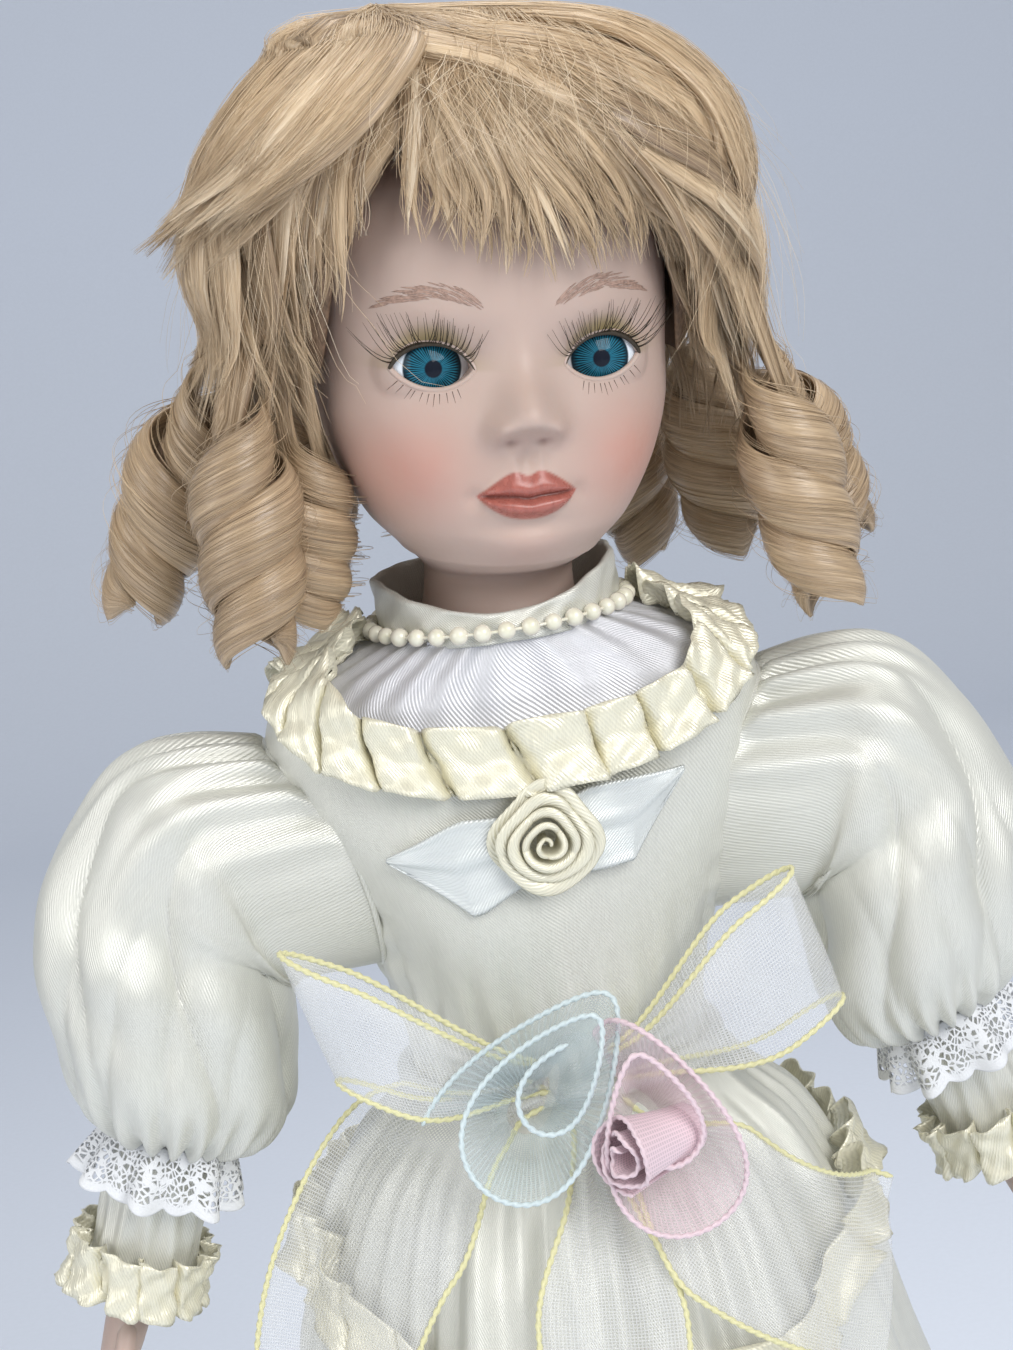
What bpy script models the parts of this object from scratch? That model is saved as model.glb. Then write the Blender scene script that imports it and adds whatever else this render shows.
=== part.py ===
"""Dressed porcelain doll: bisque head, limbs and shoulder plate on a stuffed cloth body.

The doll stands on its shoes at z = 0, faces -Y and has its own left side at +X. Lengths are in metres.
"""
import math

import bmesh
import bpy
from mathutils import Matrix, Vector

# Fits and cloth
GAP = 0.0003
CLOTH = 0.0010
RIBBON = 0.0006
EASE = 0.0006
BISQUE = 0.0028

# Torso: height, half width and half depth of each section of the body under the dress
TORSO = (
    (0.2060, 0.0230, 0.0190),
    (0.2140, 0.0325, 0.0265),
    (0.2280, 0.0360, 0.0290),
    (0.2500, 0.0310, 0.0250),
    (0.2680, 0.0245, 0.0205),
    (0.2850, 0.0265, 0.0215),
    (0.3030, 0.0325, 0.0235),
    (0.3180, 0.0385, 0.0230),
    (0.3300, 0.0420, 0.0215),
    (0.3365, 0.0395, 0.0203),
    (0.3405, 0.0330, 0.0193),
    (0.3435, 0.0255, 0.0186),
    (0.3460, 0.0192, 0.0182),
)
TORSO_SQUARENESS = 2.3
TORSO_COLUMNS = 24
BODY_TOP = 0.3285
WAIST = 0.2680
COLLAR_BASE = 0.3455
YOKE_FRONT = 0.3265
YOKE_SIDE = 0.3422
YOKE_BACK = 0.3320

# Neck joint
NECK_PIVOT = 0.3450
NECK_BALL = 0.0142
NECK_RADIUS = 0.0132
NECK_HOLE = 0.0070
HEAD_TILT = math.radians(5.0)
HEAD_TURN = math.radians(4.0)
HEAD_NOD = math.radians(3.0)

# Head: height over the neck pivot, half width, front depth and back depth of each section
HEAD = (
    (0.0135, 0.0140, 0.0205, 0.0138),
    (0.0155, 0.0165, 0.0256, 0.0150),
    (0.0210, 0.0205, 0.0298, 0.0195),
    (0.0275, 0.0240, 0.0306, 0.0250),
    (0.0340, 0.0267, 0.0312, 0.0295),
    (0.0400, 0.0284, 0.0316, 0.0330),
    (0.0480, 0.0294, 0.0306, 0.0352),
    (0.0570, 0.0296, 0.0320, 0.0360),
    (0.0670, 0.0290, 0.0312, 0.0350),
    (0.0760, 0.0262, 0.0270, 0.0312),
    (0.0830, 0.0210, 0.0205, 0.0250),
    (0.0880, 0.0130, 0.0120, 0.0160),
    (0.0900, 0.0050, 0.0040, 0.0070),
)
HEAD_SQUARENESS = 2.15
HEAD_COLUMNS = 28
CROWN_CUT = 0.0740
EYE_HEIGHT = 0.0480
EYE_SPACING = 0.0270
EYE_RADIUS = 0.0088
EYE_SET_BACK = 0.0008
EYE_OPENING_WIDTH = 0.0128
EYE_OPENING_HEIGHT = 0.0090
LASH_LENGTH = 0.0050
NOSE_HEIGHT = 0.0395
NOSE_REACH = 0.0085

# Wig
HAIR_CLEAR = 0.0017
HAIR_TOP = 0.0150
HAIR_SIDE = 0.0135
HAIR_BOTTOM = 0.0430
HAIRLINE = 0.0715
FRINGE_BOTTOM = 0.0600
FRINGE_THICKNESS = 0.0036
FRINGE_DROP = 0.0026
RINGLETS = 10
RINGLET_RADIUS = 0.0088
RINGLET_ORBIT = 0.0455
RINGLET_BACK_ORBIT = 0.0480
RINGLET_LENGTH = 0.0350
RINGLET_TURNS = 3.0

# Collar, pearls, ruffles and flower on the bodice
COLLAR_FRONT = 0.3505
COLLAR_SIDE = 0.3560
PEARL_RADIUS = 0.0012
PEARL_PITCH = 0.0040
PEARL_THREAD = 0.0004
RUFFLE_WIDTH = 0.0100
RUFFLE_LIFT = 0.0032
YOKE_PLEATS = 18
FRONT_SPREAD = 0.82
SIDE_SPREAD = 0.40
FLOWER_DROP = 0.0006
FLOWER_RADIUS = 0.0086
FLOWER_DEPTH = 0.0065
LEAF_SPAN = math.radians(38.0)
LEAF_START = math.radians(4.0)
LEAF_HALF_WIDTH = 0.0055

# Skirt: height, mean radius and depth of fold
SKIRT = (
    (0.2640, 0.0300, 0.0006),
    (0.2540, 0.0395, 0.0010),
    (0.2420, 0.0455, 0.0014),
    (0.2240, 0.0510, 0.0019),
    (0.1900, 0.0590, 0.0027),
    (0.1400, 0.0690, 0.0037),
    (0.0800, 0.0800, 0.0050),
    (0.0150, 0.0880, 0.0060),
)
SKIRT_FOLDS = 12
HIP_RUFFLE_HEIGHT = 0.2400
HIP_RUFFLE_DIP = 0.0180
HIP_PLEATS = 20
PLEAT_COLUMNS = 3

# Bow at the waist
BOW_HEIGHT = 0.2730
BOW_KNOT = 0.0055
ORGANZA_WIDTH = 0.0240
TAIL_CLEAR = 0.0062
TAIL_LAYER = 0.0018
LOOP_REACH = 0.0430
LOOP_RISE = 0.0170
LOOP_DEPTH = 0.0080
BIG_ROSE_RADIUS = 0.0160
SMALL_ROSE_RADIUS = 0.0130
ROSE_HEIGHT = 0.0170
ROSE_TURNS = 2.2
# Each organza rose: its shift from the middle of the knot and the way it faces
AQUA_ROSE_SHIFT = (-0.0105, -0.0045, 0.0040)
AQUA_ROSE_FACING = (-0.15, -0.93, 0.33)
PINK_ROSE_SHIFT = (0.0050, -0.0150, -0.0095)
PINK_ROSE_FACING = (0.30, -0.93, -0.22)

# Arms
SHOULDER_HEIGHT = 0.3180
SHOULDER_X = 0.0490
STUB_RADIUS = 0.0090
STUB_END = 0.0360
ARM_SPREAD = {"left": math.radians(20.0), "right": math.radians(22.0)}
ARMPIT_X = 0.0450
ARMPIT_HEIGHT = 0.2960
ARMHOLE_EASE = 0.0017
SLEEVE_RADIUS = 0.0205
SLEEVE_COLUMNS = 16
ELBOW = 0.0520
SLEEVE_END = 0.0560
CUFF_RADIUS = 0.0086
CUFF_END = 0.0850
LACE_WIDTH = 0.0095
CUFF_PLEATS = 9
FOREARM_RADIUS = 0.0064
WRIST_RADIUS = 0.0052
WRIST = 0.0860
HAND_END = 0.1130

# Legs and shoes
HIP_DROP = 0.0060
HIP_HEIGHT = TORSO[0][0] - HIP_DROP
HIP_X = 0.0185
HIP_BALL = 0.0130
KNEE = 0.1120
KNEE_RADIUS = 0.0100
CALF_RADIUS = 0.0105
ANKLE_RADIUS = 0.0063
ANKLE = 0.0260
SHOE_LENGTH = 0.0420
SHOE_WIDTH = 0.0180
SHOE_HEIGHT = 0.0160
INSOLE = 0.0060

# Colours, with roughness
BISQUE_COLOUR = ((0.78, 0.60, 0.55), 0.55)
MUSLIN = ((0.80, 0.74, 0.64), 0.90)
IVORY_SATIN = ((0.78, 0.78, 0.66), 0.38)
WHITE_SATIN = ((0.82, 0.82, 0.85), 0.40)
CREAM_RIBBON = ((0.87, 0.82, 0.62), 0.40)
PEARL = ((0.85, 0.84, 0.72), 0.22)
LEAF_RIBBON = ((0.76, 0.84, 0.86), 0.40)
ORGANZA = ((0.74, 0.75, 0.76), 0.45)
AQUA_ORGANZA = ((0.66, 0.80, 0.83), 0.45)
PINK_ORGANZA = ((0.85, 0.62, 0.68), 0.45)
LACE_WHITE = ((0.86, 0.86, 0.86), 0.70)
GOLD_HAIR = ((0.55, 0.37, 0.17), 0.45)
EYE_TEAL = ((0.02, 0.20, 0.28), 0.10)
LASH_BROWN = ((0.07, 0.04, 0.02), 0.60)
CARD = ((0.62, 0.52, 0.40), 0.90)
SHOE_WHITE = ((0.82, 0.81, 0.78), 0.30)

DOLL = "porcelain_doll"


def clear_scene():
    for item in list(bpy.data.objects):
        bpy.data.objects.remove(item, do_unlink=True)


def new_collection(name):
    group = bpy.data.collections.new(name)
    bpy.context.scene.collection.children.link(group)
    return group


def finish_material(name, look):
    colour, roughness = look
    material = bpy.data.materials.new(name)
    material.use_nodes = True
    shader = material.node_tree.nodes["Principled BSDF"]
    shader.inputs["Base Color"].default_value = (*colour, 1.0)
    shader.inputs["Roughness"].default_value = roughness
    shader.inputs["Metallic"].default_value = 0.0
    return material


def add_part(name, data, look, parent=None):
    item = bpy.data.objects.new(name, data)
    data.materials.append(finish_material(name + "_finish", look))
    PARTS.objects.link(item)
    item.parent = parent
    return item


def add_cutter(name, data, parent=None):
    item = bpy.data.objects.new(name, data)
    item.hide_render = True
    item.display_type = "WIRE"
    CUTTERS.objects.link(item)
    item.parent = parent
    return item


def cut(item, cutter):
    change = item.modifiers.new("cut_" + cutter.name, "BOOLEAN")
    change.operation = "DIFFERENCE"
    change.object = cutter


def thicken(item, thickness):
    change = item.modifiers.new("thickness", "SOLIDIFY")
    change.thickness = thickness
    change.offset = 1.0


def loft_mesh(name, rows, rings=True, joined=False, capped=False):
    """Faces between rows of points. Rings and joined close the two directions, capped fills the ends."""
    form = bmesh.new()
    grid = [[form.verts.new(point) for point in row] for row in rows]
    columns = len(grid[0])
    for low, high in zip(grid, grid[1:] + grid[:1] if joined else grid[1:]):
        for k in range(columns if rings else columns - 1):
            after = (k + 1) % columns
            form.faces.new((low[k], low[after], high[after], high[k]))
    if capped:
        for row, inward in ((grid[0], True), (grid[-1], False)):
            middle = form.verts.new(sum((v.co for v in row), Vector()) / columns)
            for k in range(columns):
                pair = (row[k], row[(k + 1) % columns])
                form.faces.new((*(reversed(pair) if inward else pair), middle))
    if joined or capped:
        bmesh.ops.recalc_face_normals(form, faces=form.faces)
    data = bpy.data.meshes.new(name)
    form.to_mesh(data)
    form.free()
    data.shade_smooth()
    return data


def ball_mesh(name, centre, radii, segments=14, rings=9):
    form = bmesh.new()
    place = Matrix.Translation(centre) @ Matrix.Diagonal((*radii, 1.0))
    bmesh.ops.create_uvsphere(form, u_segments=segments, v_segments=rings, radius=1.0, matrix=place)
    data = bpy.data.meshes.new(name)
    form.to_mesh(data)
    form.free()
    data.shade_smooth()
    return data


def rod_mesh(name, start, end, radius, segments=16):
    form = bmesh.new()
    along = Vector(end) - Vector(start)
    turn = Vector((0.0, 0.0, 1.0)).rotation_difference(along).to_matrix().to_4x4()
    place = Matrix.Translation((Vector(start) + Vector(end)) / 2) @ turn
    size = {"radius1": radius, "radius2": radius, "depth": along.length}
    bmesh.ops.create_cone(form, cap_ends=True, segments=segments, matrix=place, **size)
    data = bpy.data.meshes.new(name)
    form.to_mesh(data)
    form.free()
    return data


def tube_curve(name, points, radii, sides_level, closed=False):
    """A tube whose radius is given at each point."""
    data = bpy.data.curves.new(name, "CURVE")
    data.dimensions = "3D"
    data.bevel_depth = 1.0
    data.bevel_resolution = sides_level
    data.use_fill_caps = not closed
    spline = data.splines.new("POLY")
    spline.points.add(len(points) - 1)
    for knot, point, radius in zip(spline.points, points, radii):
        knot.co = (*point, 1.0)
        knot.radius = radius
    spline.use_cyclic_u = closed
    return data


def between(stops, height):
    """Smooth values at a height, from rows that start with their own height."""
    last = len(stops) - 1
    k = next((i for i in range(last) if height <= stops[i + 1][0]), last - 1)
    before, low, high, after = (stops[min(max(i, 0), last)] for i in (k - 1, k, k + 1, k + 2))
    t = min(max((height - low[0]) / (high[0] - low[0]), 0.0), 1.0)
    found = []
    for a, b, c, d in zip(before[1:], low[1:], high[1:], after[1:]):
        bend = (2 * a - 5 * b + 4 * c - d) * t * t + (3 * b - a - 3 * c + d) * t**3
        found.append(b + 0.5 * ((c - a) * t + bend))
    return found


def power(value, exponent):
    return math.copysign(abs(value) ** exponent, value)


def outward(surface, u, angle, distance):
    """The point of a surface, moved out along its normal."""
    step = 0.0004
    point = surface(u, angle)
    across = surface(u, angle + 0.01) - surface(u, angle - 0.01)
    rise = surface(u + step, angle) - surface(u - step, angle)
    return point + across.cross(rise).normalized() * distance


def ring_angles(columns):
    return [math.tau * k / columns for k in range(columns)]


def smooth_step(low, high, value):
    t = min(max((value - low) / (high - low), 0.0), 1.0)
    return t * t * (3 - 2 * t)


def torso_surface(height, angle):
    half_width, half_depth = between(TORSO, height)
    exponent = 2.0 / TORSO_SQUARENESS
    x = half_width * power(math.cos(angle), exponent)
    y = half_depth * power(math.sin(angle), exponent)
    return Vector((x, y, height))


def on_torso(height, angle, distance):
    return outward(torso_surface, height, angle, distance)


def torso_ring(height, distance):
    return [on_torso(height, angle, distance) for angle in ring_angles(TORSO_COLUMNS)]


def yoke_seam(angle):
    front = max(0.0, -math.sin(angle)) ** 1.6
    back = max(0.0, math.sin(angle)) ** 1.6
    return YOKE_SIDE - (YOKE_SIDE - YOKE_FRONT) * front - (YOKE_SIDE - YOKE_BACK) * back


def round_ring(radius, height, columns=TORSO_COLUMNS):
    return [Vector((radius * math.cos(a), radius * math.sin(a), height)) for a in ring_angles(columns)]


# Body and shoulder plate
def make_body():
    heights = [TORSO[0][0] + (BODY_TOP - GAP - TORSO[0][0]) * k / 10 for k in range(11)]
    data = loft_mesh("cloth_body", [torso_ring(height, 0.0) for height in heights], capped=True)
    body = add_part("cloth_body", data, MUSLIN)
    reach = TORSO[8][1] * 2
    ends = ((-reach, 0, HIP_HEIGHT), (reach, 0, HIP_HEIGHT))
    groove = rod_mesh("hip_groove", *ends, HIP_BALL + GAP, 24)
    cut(body, add_cutter("hip_groove", groove))
    for side, sign in SIDES:
        start = (sign * (STUB_END - GAP), 0, SHOULDER_HEIGHT)
        end = (sign * reach, 0, SHOULDER_HEIGHT)
        name = side + "_arm_socket"
        cut(body, add_cutter(name, rod_mesh(name, start, end, STUB_RADIUS + GAP)))


def make_shoulder_plate():
    cup = NECK_BALL + GAP
    top = TORSO[-1][0]
    rows = [torso_ring(BODY_TOP + (top - BODY_TOP) * k / 5, 0.0) for k in range(6)]
    high = math.acos((NECK_PIVOT - top) / cup)
    low = math.asin(NECK_HOLE / cup)
    for k in range(6):
        dip = high + (low - high) * k / 5
        rows.append(round_ring(cup * math.sin(dip), NECK_PIVOT - cup * math.cos(dip)))
    rows.append(round_ring(NECK_HOLE, NECK_PIVOT - cup - BISQUE / 3))
    rows.append(round_ring(cup - BISQUE, NECK_PIVOT - cup + BISQUE / 2))
    for height in (BODY_TOP + BISQUE, BODY_TOP):
        rows.append([Vector((p.x, p.y, height)) for p in torso_ring(height, -BISQUE)])
    add_part("shoulder_plate", loft_mesh("shoulder_plate", rows, joined=True), BISQUE_COLOUR)


# Dress
def make_bodice():
    rows = []
    for share in (0.0, 0.22, 0.42, 0.60, 0.74, 0.81, 0.86, 0.90, 0.94, 0.97, 1.0):
        row = []
        for angle in ring_angles(TORSO_COLUMNS):
            height = WAIST + (yoke_seam(angle) - GAP - WAIST) * share
            row.append(on_torso(height, angle, EASE))
        rows.append(row)
    bodice = add_part("bodice", loft_mesh("bodice", rows), IVORY_SATIN)
    thicken(bodice, CLOTH)
    reach = TORSO[8][1] * 2
    ends = ((-reach, 0, SHOULDER_HEIGHT), (reach, 0, SHOULDER_HEIGHT))
    armholes = rod_mesh("armholes", *ends, STUB_RADIUS + 3 * GAP)
    cut(bodice, add_cutter("armholes", armholes))


def make_yoke():
    rows = []
    for share in (0.0, 0.20, 0.45, 0.70, 1.0):
        row = []
        for angle in ring_angles(TORSO_COLUMNS):
            height = yoke_seam(angle) + (COLLAR_BASE - yoke_seam(angle)) * share
            row.append(on_torso(height, angle, EASE))
        rows.append(row)
    yoke = add_part("yoke_panel", loft_mesh("yoke_panel", rows), WHITE_SATIN)
    thicken(yoke, CLOTH)


def collar_radius():
    return TORSO[-1][1] + EASE


def make_collar():
    base = COLLAR_BASE + CLOTH + 2 * GAP
    rows = []
    for k in range(3):
        row = []
        for angle in ring_angles(TORSO_COLUMNS):
            top = COLLAR_SIDE - (COLLAR_SIDE - COLLAR_FRONT) * max(0.0, -math.sin(angle)) ** 2
            height = base + (top - base) * k / 2
            around = Vector((math.cos(angle), math.sin(angle), 0.0))
            row.append(around * collar_radius() + Vector((0.0, 0.0, height)))
        rows.append(row)
    collar = add_part("stand_collar", loft_mesh("stand_collar", rows), IVORY_SATIN)
    thicken(collar, CLOTH)


def make_pearls():
    orbit = collar_radius() + CLOTH + GAP + PEARL_RADIUS
    height = COLLAR_BASE + CLOTH + GAP + PEARL_RADIUS
    count = round(math.tau * orbit / PEARL_PITCH)
    shape = ((0.0, PEARL_THREAD), (0.32, PEARL_RADIUS), (0.68, PEARL_RADIUS))
    points = []
    radii = []
    for k in range(count):
        for share, radius in shape:
            angle = math.tau * (k + share) / count
            points.append((orbit * math.cos(angle), orbit * math.sin(angle), height))
            radii.append(radius)
    add_part("pearl_string", tube_curve("pearl_string", points, radii, 1, closed=True), PEARL)


def ruffle_rows(columns, pleats, width, place):
    """Three rows of a gathered ribbon, whose edges stand out in pleats from the stitched middle."""
    rows = []
    for across in (-0.5, 0.0, 0.5):
        row = []
        for k in range(columns):
            wave = 0.5 + 0.5 * math.cos(math.tau * pleats * k / columns + across * 2.0)
            lift = RUFFLE_LIFT * (0.25 + 0.75 * wave) if across else RUFFLE_LIFT * 0.12
            row.append(place(math.tau * k / columns, across * width, lift))
        rows.append(row)
    return rows


def make_yoke_ruffle():
    def place(angle, rise, lift):
        spread = SIDE_SPREAD + (FRONT_SPREAD - SIDE_SPREAD) * abs(math.sin(angle))
        height = yoke_seam(angle) + rise * spread
        return on_torso(height, angle, EASE + CLOTH + GAP + lift)

    rows = ruffle_rows(YOKE_PLEATS * PLEAT_COLUMNS, YOKE_PLEATS, RUFFLE_WIDTH, place)
    ruffle = add_part("yoke_ruffle", loft_mesh("yoke_ruffle", rows), CREAM_RIBBON)
    thicken(ruffle, RIBBON)


def make_flower():
    flower_height = YOKE_FRONT - RUFFLE_WIDTH * FRONT_SPREAD / 2 - FLOWER_DROP - FLOWER_RADIUS
    back = on_torso(flower_height, -math.pi / 2, EASE + CLOTH + RIBBON + 3 * GAP)
    columns = 18
    turns = 2.5
    rows = []
    for k in range(8):
        share = 1.0 - k / 8
        row = []
        for angle in ring_angles(columns):
            radius = FLOWER_RADIUS * share
            wave = 0.5 + 0.5 * math.cos(math.tau * turns * share - angle)
            swell = math.sqrt(1.0 - 0.8 * share * share)
            depth = FLOWER_DEPTH * swell * (0.62 + 0.38 * wave)
            row.append(back + Vector((radius * math.cos(angle), -depth, radius * math.sin(angle))))
        rows.append(row)
    base = [Vector((point.x, back.y, point.z)) for point in rows[0]]
    add_part("satin_rose", loft_mesh("satin_rose", [base] + rows, capped=True), CREAM_RIBBON)
    for side, sign in SIDES:
        rows = []
        for k in range(7):
            along = k / 6
            half = LEAF_HALF_WIDTH * (1.0 - 0.85 * abs(along - 0.45) / 0.55)
            angle = -math.pi / 2 + sign * (LEAF_START + LEAF_SPAN * along)
            heights = [flower_height + half * v for v in (sign, 0.0, -sign)]
            rows.append([on_torso(height, angle, EASE + CLOTH + GAP) for height in heights])
        name = side + "_rose_leaf"
        thicken(add_part(name, loft_mesh(name, rows, rings=False), LEAF_RIBBON), RIBBON)


def skirt_surface(height, angle):
    waist_width, waist_depth = between(TORSO, WAIST)
    start = SKIRT[0][0]
    radius, fold = between(SKIRT[::-1], min(height, start))
    flat = 1.0 - 0.08 * smooth_step(SKIRT[4][0], start, height)
    share = smooth_step(start, WAIST, height)
    half_width = radius + (waist_width + EASE - radius) * share
    half_depth = radius * flat + (waist_depth + EASE - radius * flat) * share
    exponent = 1.0 + (2.0 / TORSO_SQUARENESS - 1.0) * share
    wave = fold * math.cos(SKIRT_FOLDS * angle)
    x = (half_width + wave) * power(math.cos(angle), exponent)
    y = (half_depth + wave) * power(math.sin(angle), exponent)
    return Vector((x, y, height))


def make_skirt():
    columns = SKIRT_FOLDS * PLEAT_COLUMNS
    heights = [stop[0] for stop in SKIRT[::-1]] + [WAIST - CLOTH - GAP]
    rows = [[skirt_surface(height, angle) for angle in ring_angles(columns)] for height in heights]
    skirt = add_part("skirt", loft_mesh("skirt", rows), IVORY_SATIN)
    thicken(skirt, CLOTH)

    def place(angle, rise, lift):
        height = HIP_RUFFLE_HEIGHT - HIP_RUFFLE_DIP * smooth_step(0.25, 0.95, -math.sin(angle))
        return outward(skirt_surface, height + rise * 0.9, angle, CLOTH + EASE + lift)

    rows = ruffle_rows(HIP_PLEATS * PLEAT_COLUMNS, HIP_PLEATS, RUFFLE_WIDTH, place)
    ruffle = add_part("hip_ruffle", loft_mesh("hip_ruffle", rows), CREAM_RIBBON)
    thicken(ruffle, RIBBON)


# Organza bow
def bow_front():
    return on_torso(BOW_HEIGHT, -math.pi / 2, EASE + CLOTH + GAP).y


def ribbon_rows(path, half_widths, spread):
    """Cross rows of a ribbon along a path, each row spread to both sides along the given direction."""
    rows = []
    for point, half in zip(path, half_widths):
        rows.append([Vector(point) + Vector(spread) * half * v for v in (-1.0, -0.33, 0.33, 1.0)])
    return rows


def make_bow():
    knot_y = bow_front() - BOW_KNOT
    knot = ball_mesh("bow_knot", (0, knot_y, BOW_HEIGHT), (BOW_KNOT, BOW_KNOT, BOW_KNOT * 1.2), 12, 8)
    add_part("bow_knot", knot, ORGANZA)
    half = ORGANZA_WIDTH / 2
    start = BOW_KNOT + GAP
    for side, sign in SIDES:
        steps = 12
        path = []
        widths = []
        for k in range(steps + 1):
            round_trip = math.pi * k / steps
            out = math.sin(round_trip) ** 0.8
            x = sign * (start + (LOOP_REACH - start) * out)
            y = knot_y - LOOP_DEPTH * math.cos(round_trip) * math.sin(round_trip) ** 0.7
            path.append((x, y - 0.0008 * math.cos(round_trip), BOW_HEIGHT + LOOP_RISE * out**1.3))
            widths.append(half * (0.2 + 0.8 * smooth_step(0.0, 0.75, out)))
        rows = ribbon_rows(path, widths, (-sign * 0.25, 0.0, sign * 0.97))
        name = side + "_bow_loop"
        thicken(add_part(name, loft_mesh(name, rows, rings=False), ORGANZA), RIBBON)
    tails = (
        ("left_bow_tail", -1.05, -0.45, 0.056, 1),
        ("middle_bow_tail", -1.62, -1.75, 0.070, 0),
        ("right_bow_tail", -2.15, -2.00, 0.072, 1),
    )
    for name, heading, last_heading, length, layer in tails:
        make_tail(name, heading, last_heading, length, knot_y, layer * TAIL_LAYER)


def make_tail(name, heading, last_heading, length, knot_y, forward):
    """A ribbon that leaves the knot, turns to its last heading and lies a little above the skirt."""
    half = ORGANZA_WIDTH / 2
    steps = 10
    centre = Vector((0.0, knot_y, BOW_HEIGHT))
    centre += Vector((math.cos(heading), 0.0, math.sin(heading))) * (BOW_KNOT * 1.2 + 3 * GAP)
    rows = []
    for k in range(steps + 1):
        share = k / steps
        turn = heading + (last_heading - heading) * share
        along = Vector((math.cos(turn), 0.0, math.sin(turn)))
        across = Vector((-along.z, 0.0, along.x))
        width = half * (0.20 + 0.80 * smooth_step(0.0, 0.40, share))
        lift = smooth_step(0.0, 0.3, share)
        row = []
        for v in (-1.0, -0.33, 0.33, 1.0):
            place = centre + across * width * v
            rest = skirt_front(place.x, place.z)
            place.y = min(knot_y + (rest - knot_y) * lift, rest) - forward
            row.append(place)
        rows.append(row)
        centre = centre + along * length / steps
    thicken(add_part(name, loft_mesh(name, rows[::-1], rings=False), ORGANZA), RIBBON)


def skirt_front(x, height):
    """Y of a ribbon that lies clear of the front of the skirt, or of the bodice above the waist."""
    if height >= WAIST:
        half_width, half_depth = between(TORSO, height)
    else:
        half_width = skirt_surface(height, 0.0).x
        half_depth = -skirt_surface(height, -math.pi / 2).y
    share = min(abs(x) / (half_width + TAIL_CLEAR), 0.93)
    return -(half_depth + TAIL_CLEAR) * math.sqrt(1.0 - share * share)


def make_organza_rose(name, look, base, axis, radius):
    """A ribbon rolled into an open rose, wider at each turn."""
    lean = Vector((0.0, 0.0, 1.0)).rotation_difference(Vector(axis)).to_matrix()
    steps = int(ROSE_TURNS * 10)
    rows = []
    for k in range(steps + 1):
        share = k / steps
        angle = math.tau * ROSE_TURNS * share
        top = radius * (0.16 + 0.84 * share)
        foot = radius * (0.10 + 0.34 * share)
        rise = ROSE_HEIGHT * (1.0 - 0.25 * share)
        row = []
        for across in (0.0, 0.5, 1.0):
            wide = foot + (top - foot) * across**1.5
            local = Vector((wide * math.cos(angle), wide * math.sin(angle), rise * across))
            row.append(base + lean @ local)
        rows.append(row)
    thicken(add_part(name, loft_mesh(name, rows, rings=False), look), RIBBON)


def make_bow_roses():
    knot = Vector((0.0, bow_front() - BOW_KNOT, BOW_HEIGHT))
    aqua = knot + Vector(AQUA_ROSE_SHIFT)
    pink = knot + Vector(PINK_ROSE_SHIFT)
    make_organza_rose("aqua_rose", AQUA_ORGANZA, aqua, AQUA_ROSE_FACING, BIG_ROSE_RADIUS)
    make_organza_rose("pink_rose", PINK_ORGANZA, pink, PINK_ROSE_FACING, SMALL_ROSE_RADIUS)


# Head
def head_surface(height, angle):
    half_width, front, back = between(HEAD, height)
    exponent = 2.0 / HEAD_SQUARENESS
    depth = front if math.sin(angle) < 0 else back
    x = half_width * power(math.cos(angle), exponent)
    y = depth * power(math.sin(angle), exponent)
    if math.sin(angle) < 0:
        drop = (height - NOSE_HEIGHT) / (0.0028 if height < NOSE_HEIGHT else 0.0085)
        y -= NOSE_REACH * math.exp(-((x / 0.0034) ** 2) - drop * drop)
    return Vector((x, y, height))


def on_head(height, angle, distance):
    return outward(head_surface, height, angle, distance)


def head_angles():
    """Ring angles that lie closer together over the face."""
    angles = []
    for k in range(HEAD_COLUMNS):
        even = math.tau * k / HEAD_COLUMNS
        angles.append(even - math.pi / 2 - 0.62 * math.sin(even))
    return angles


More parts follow.
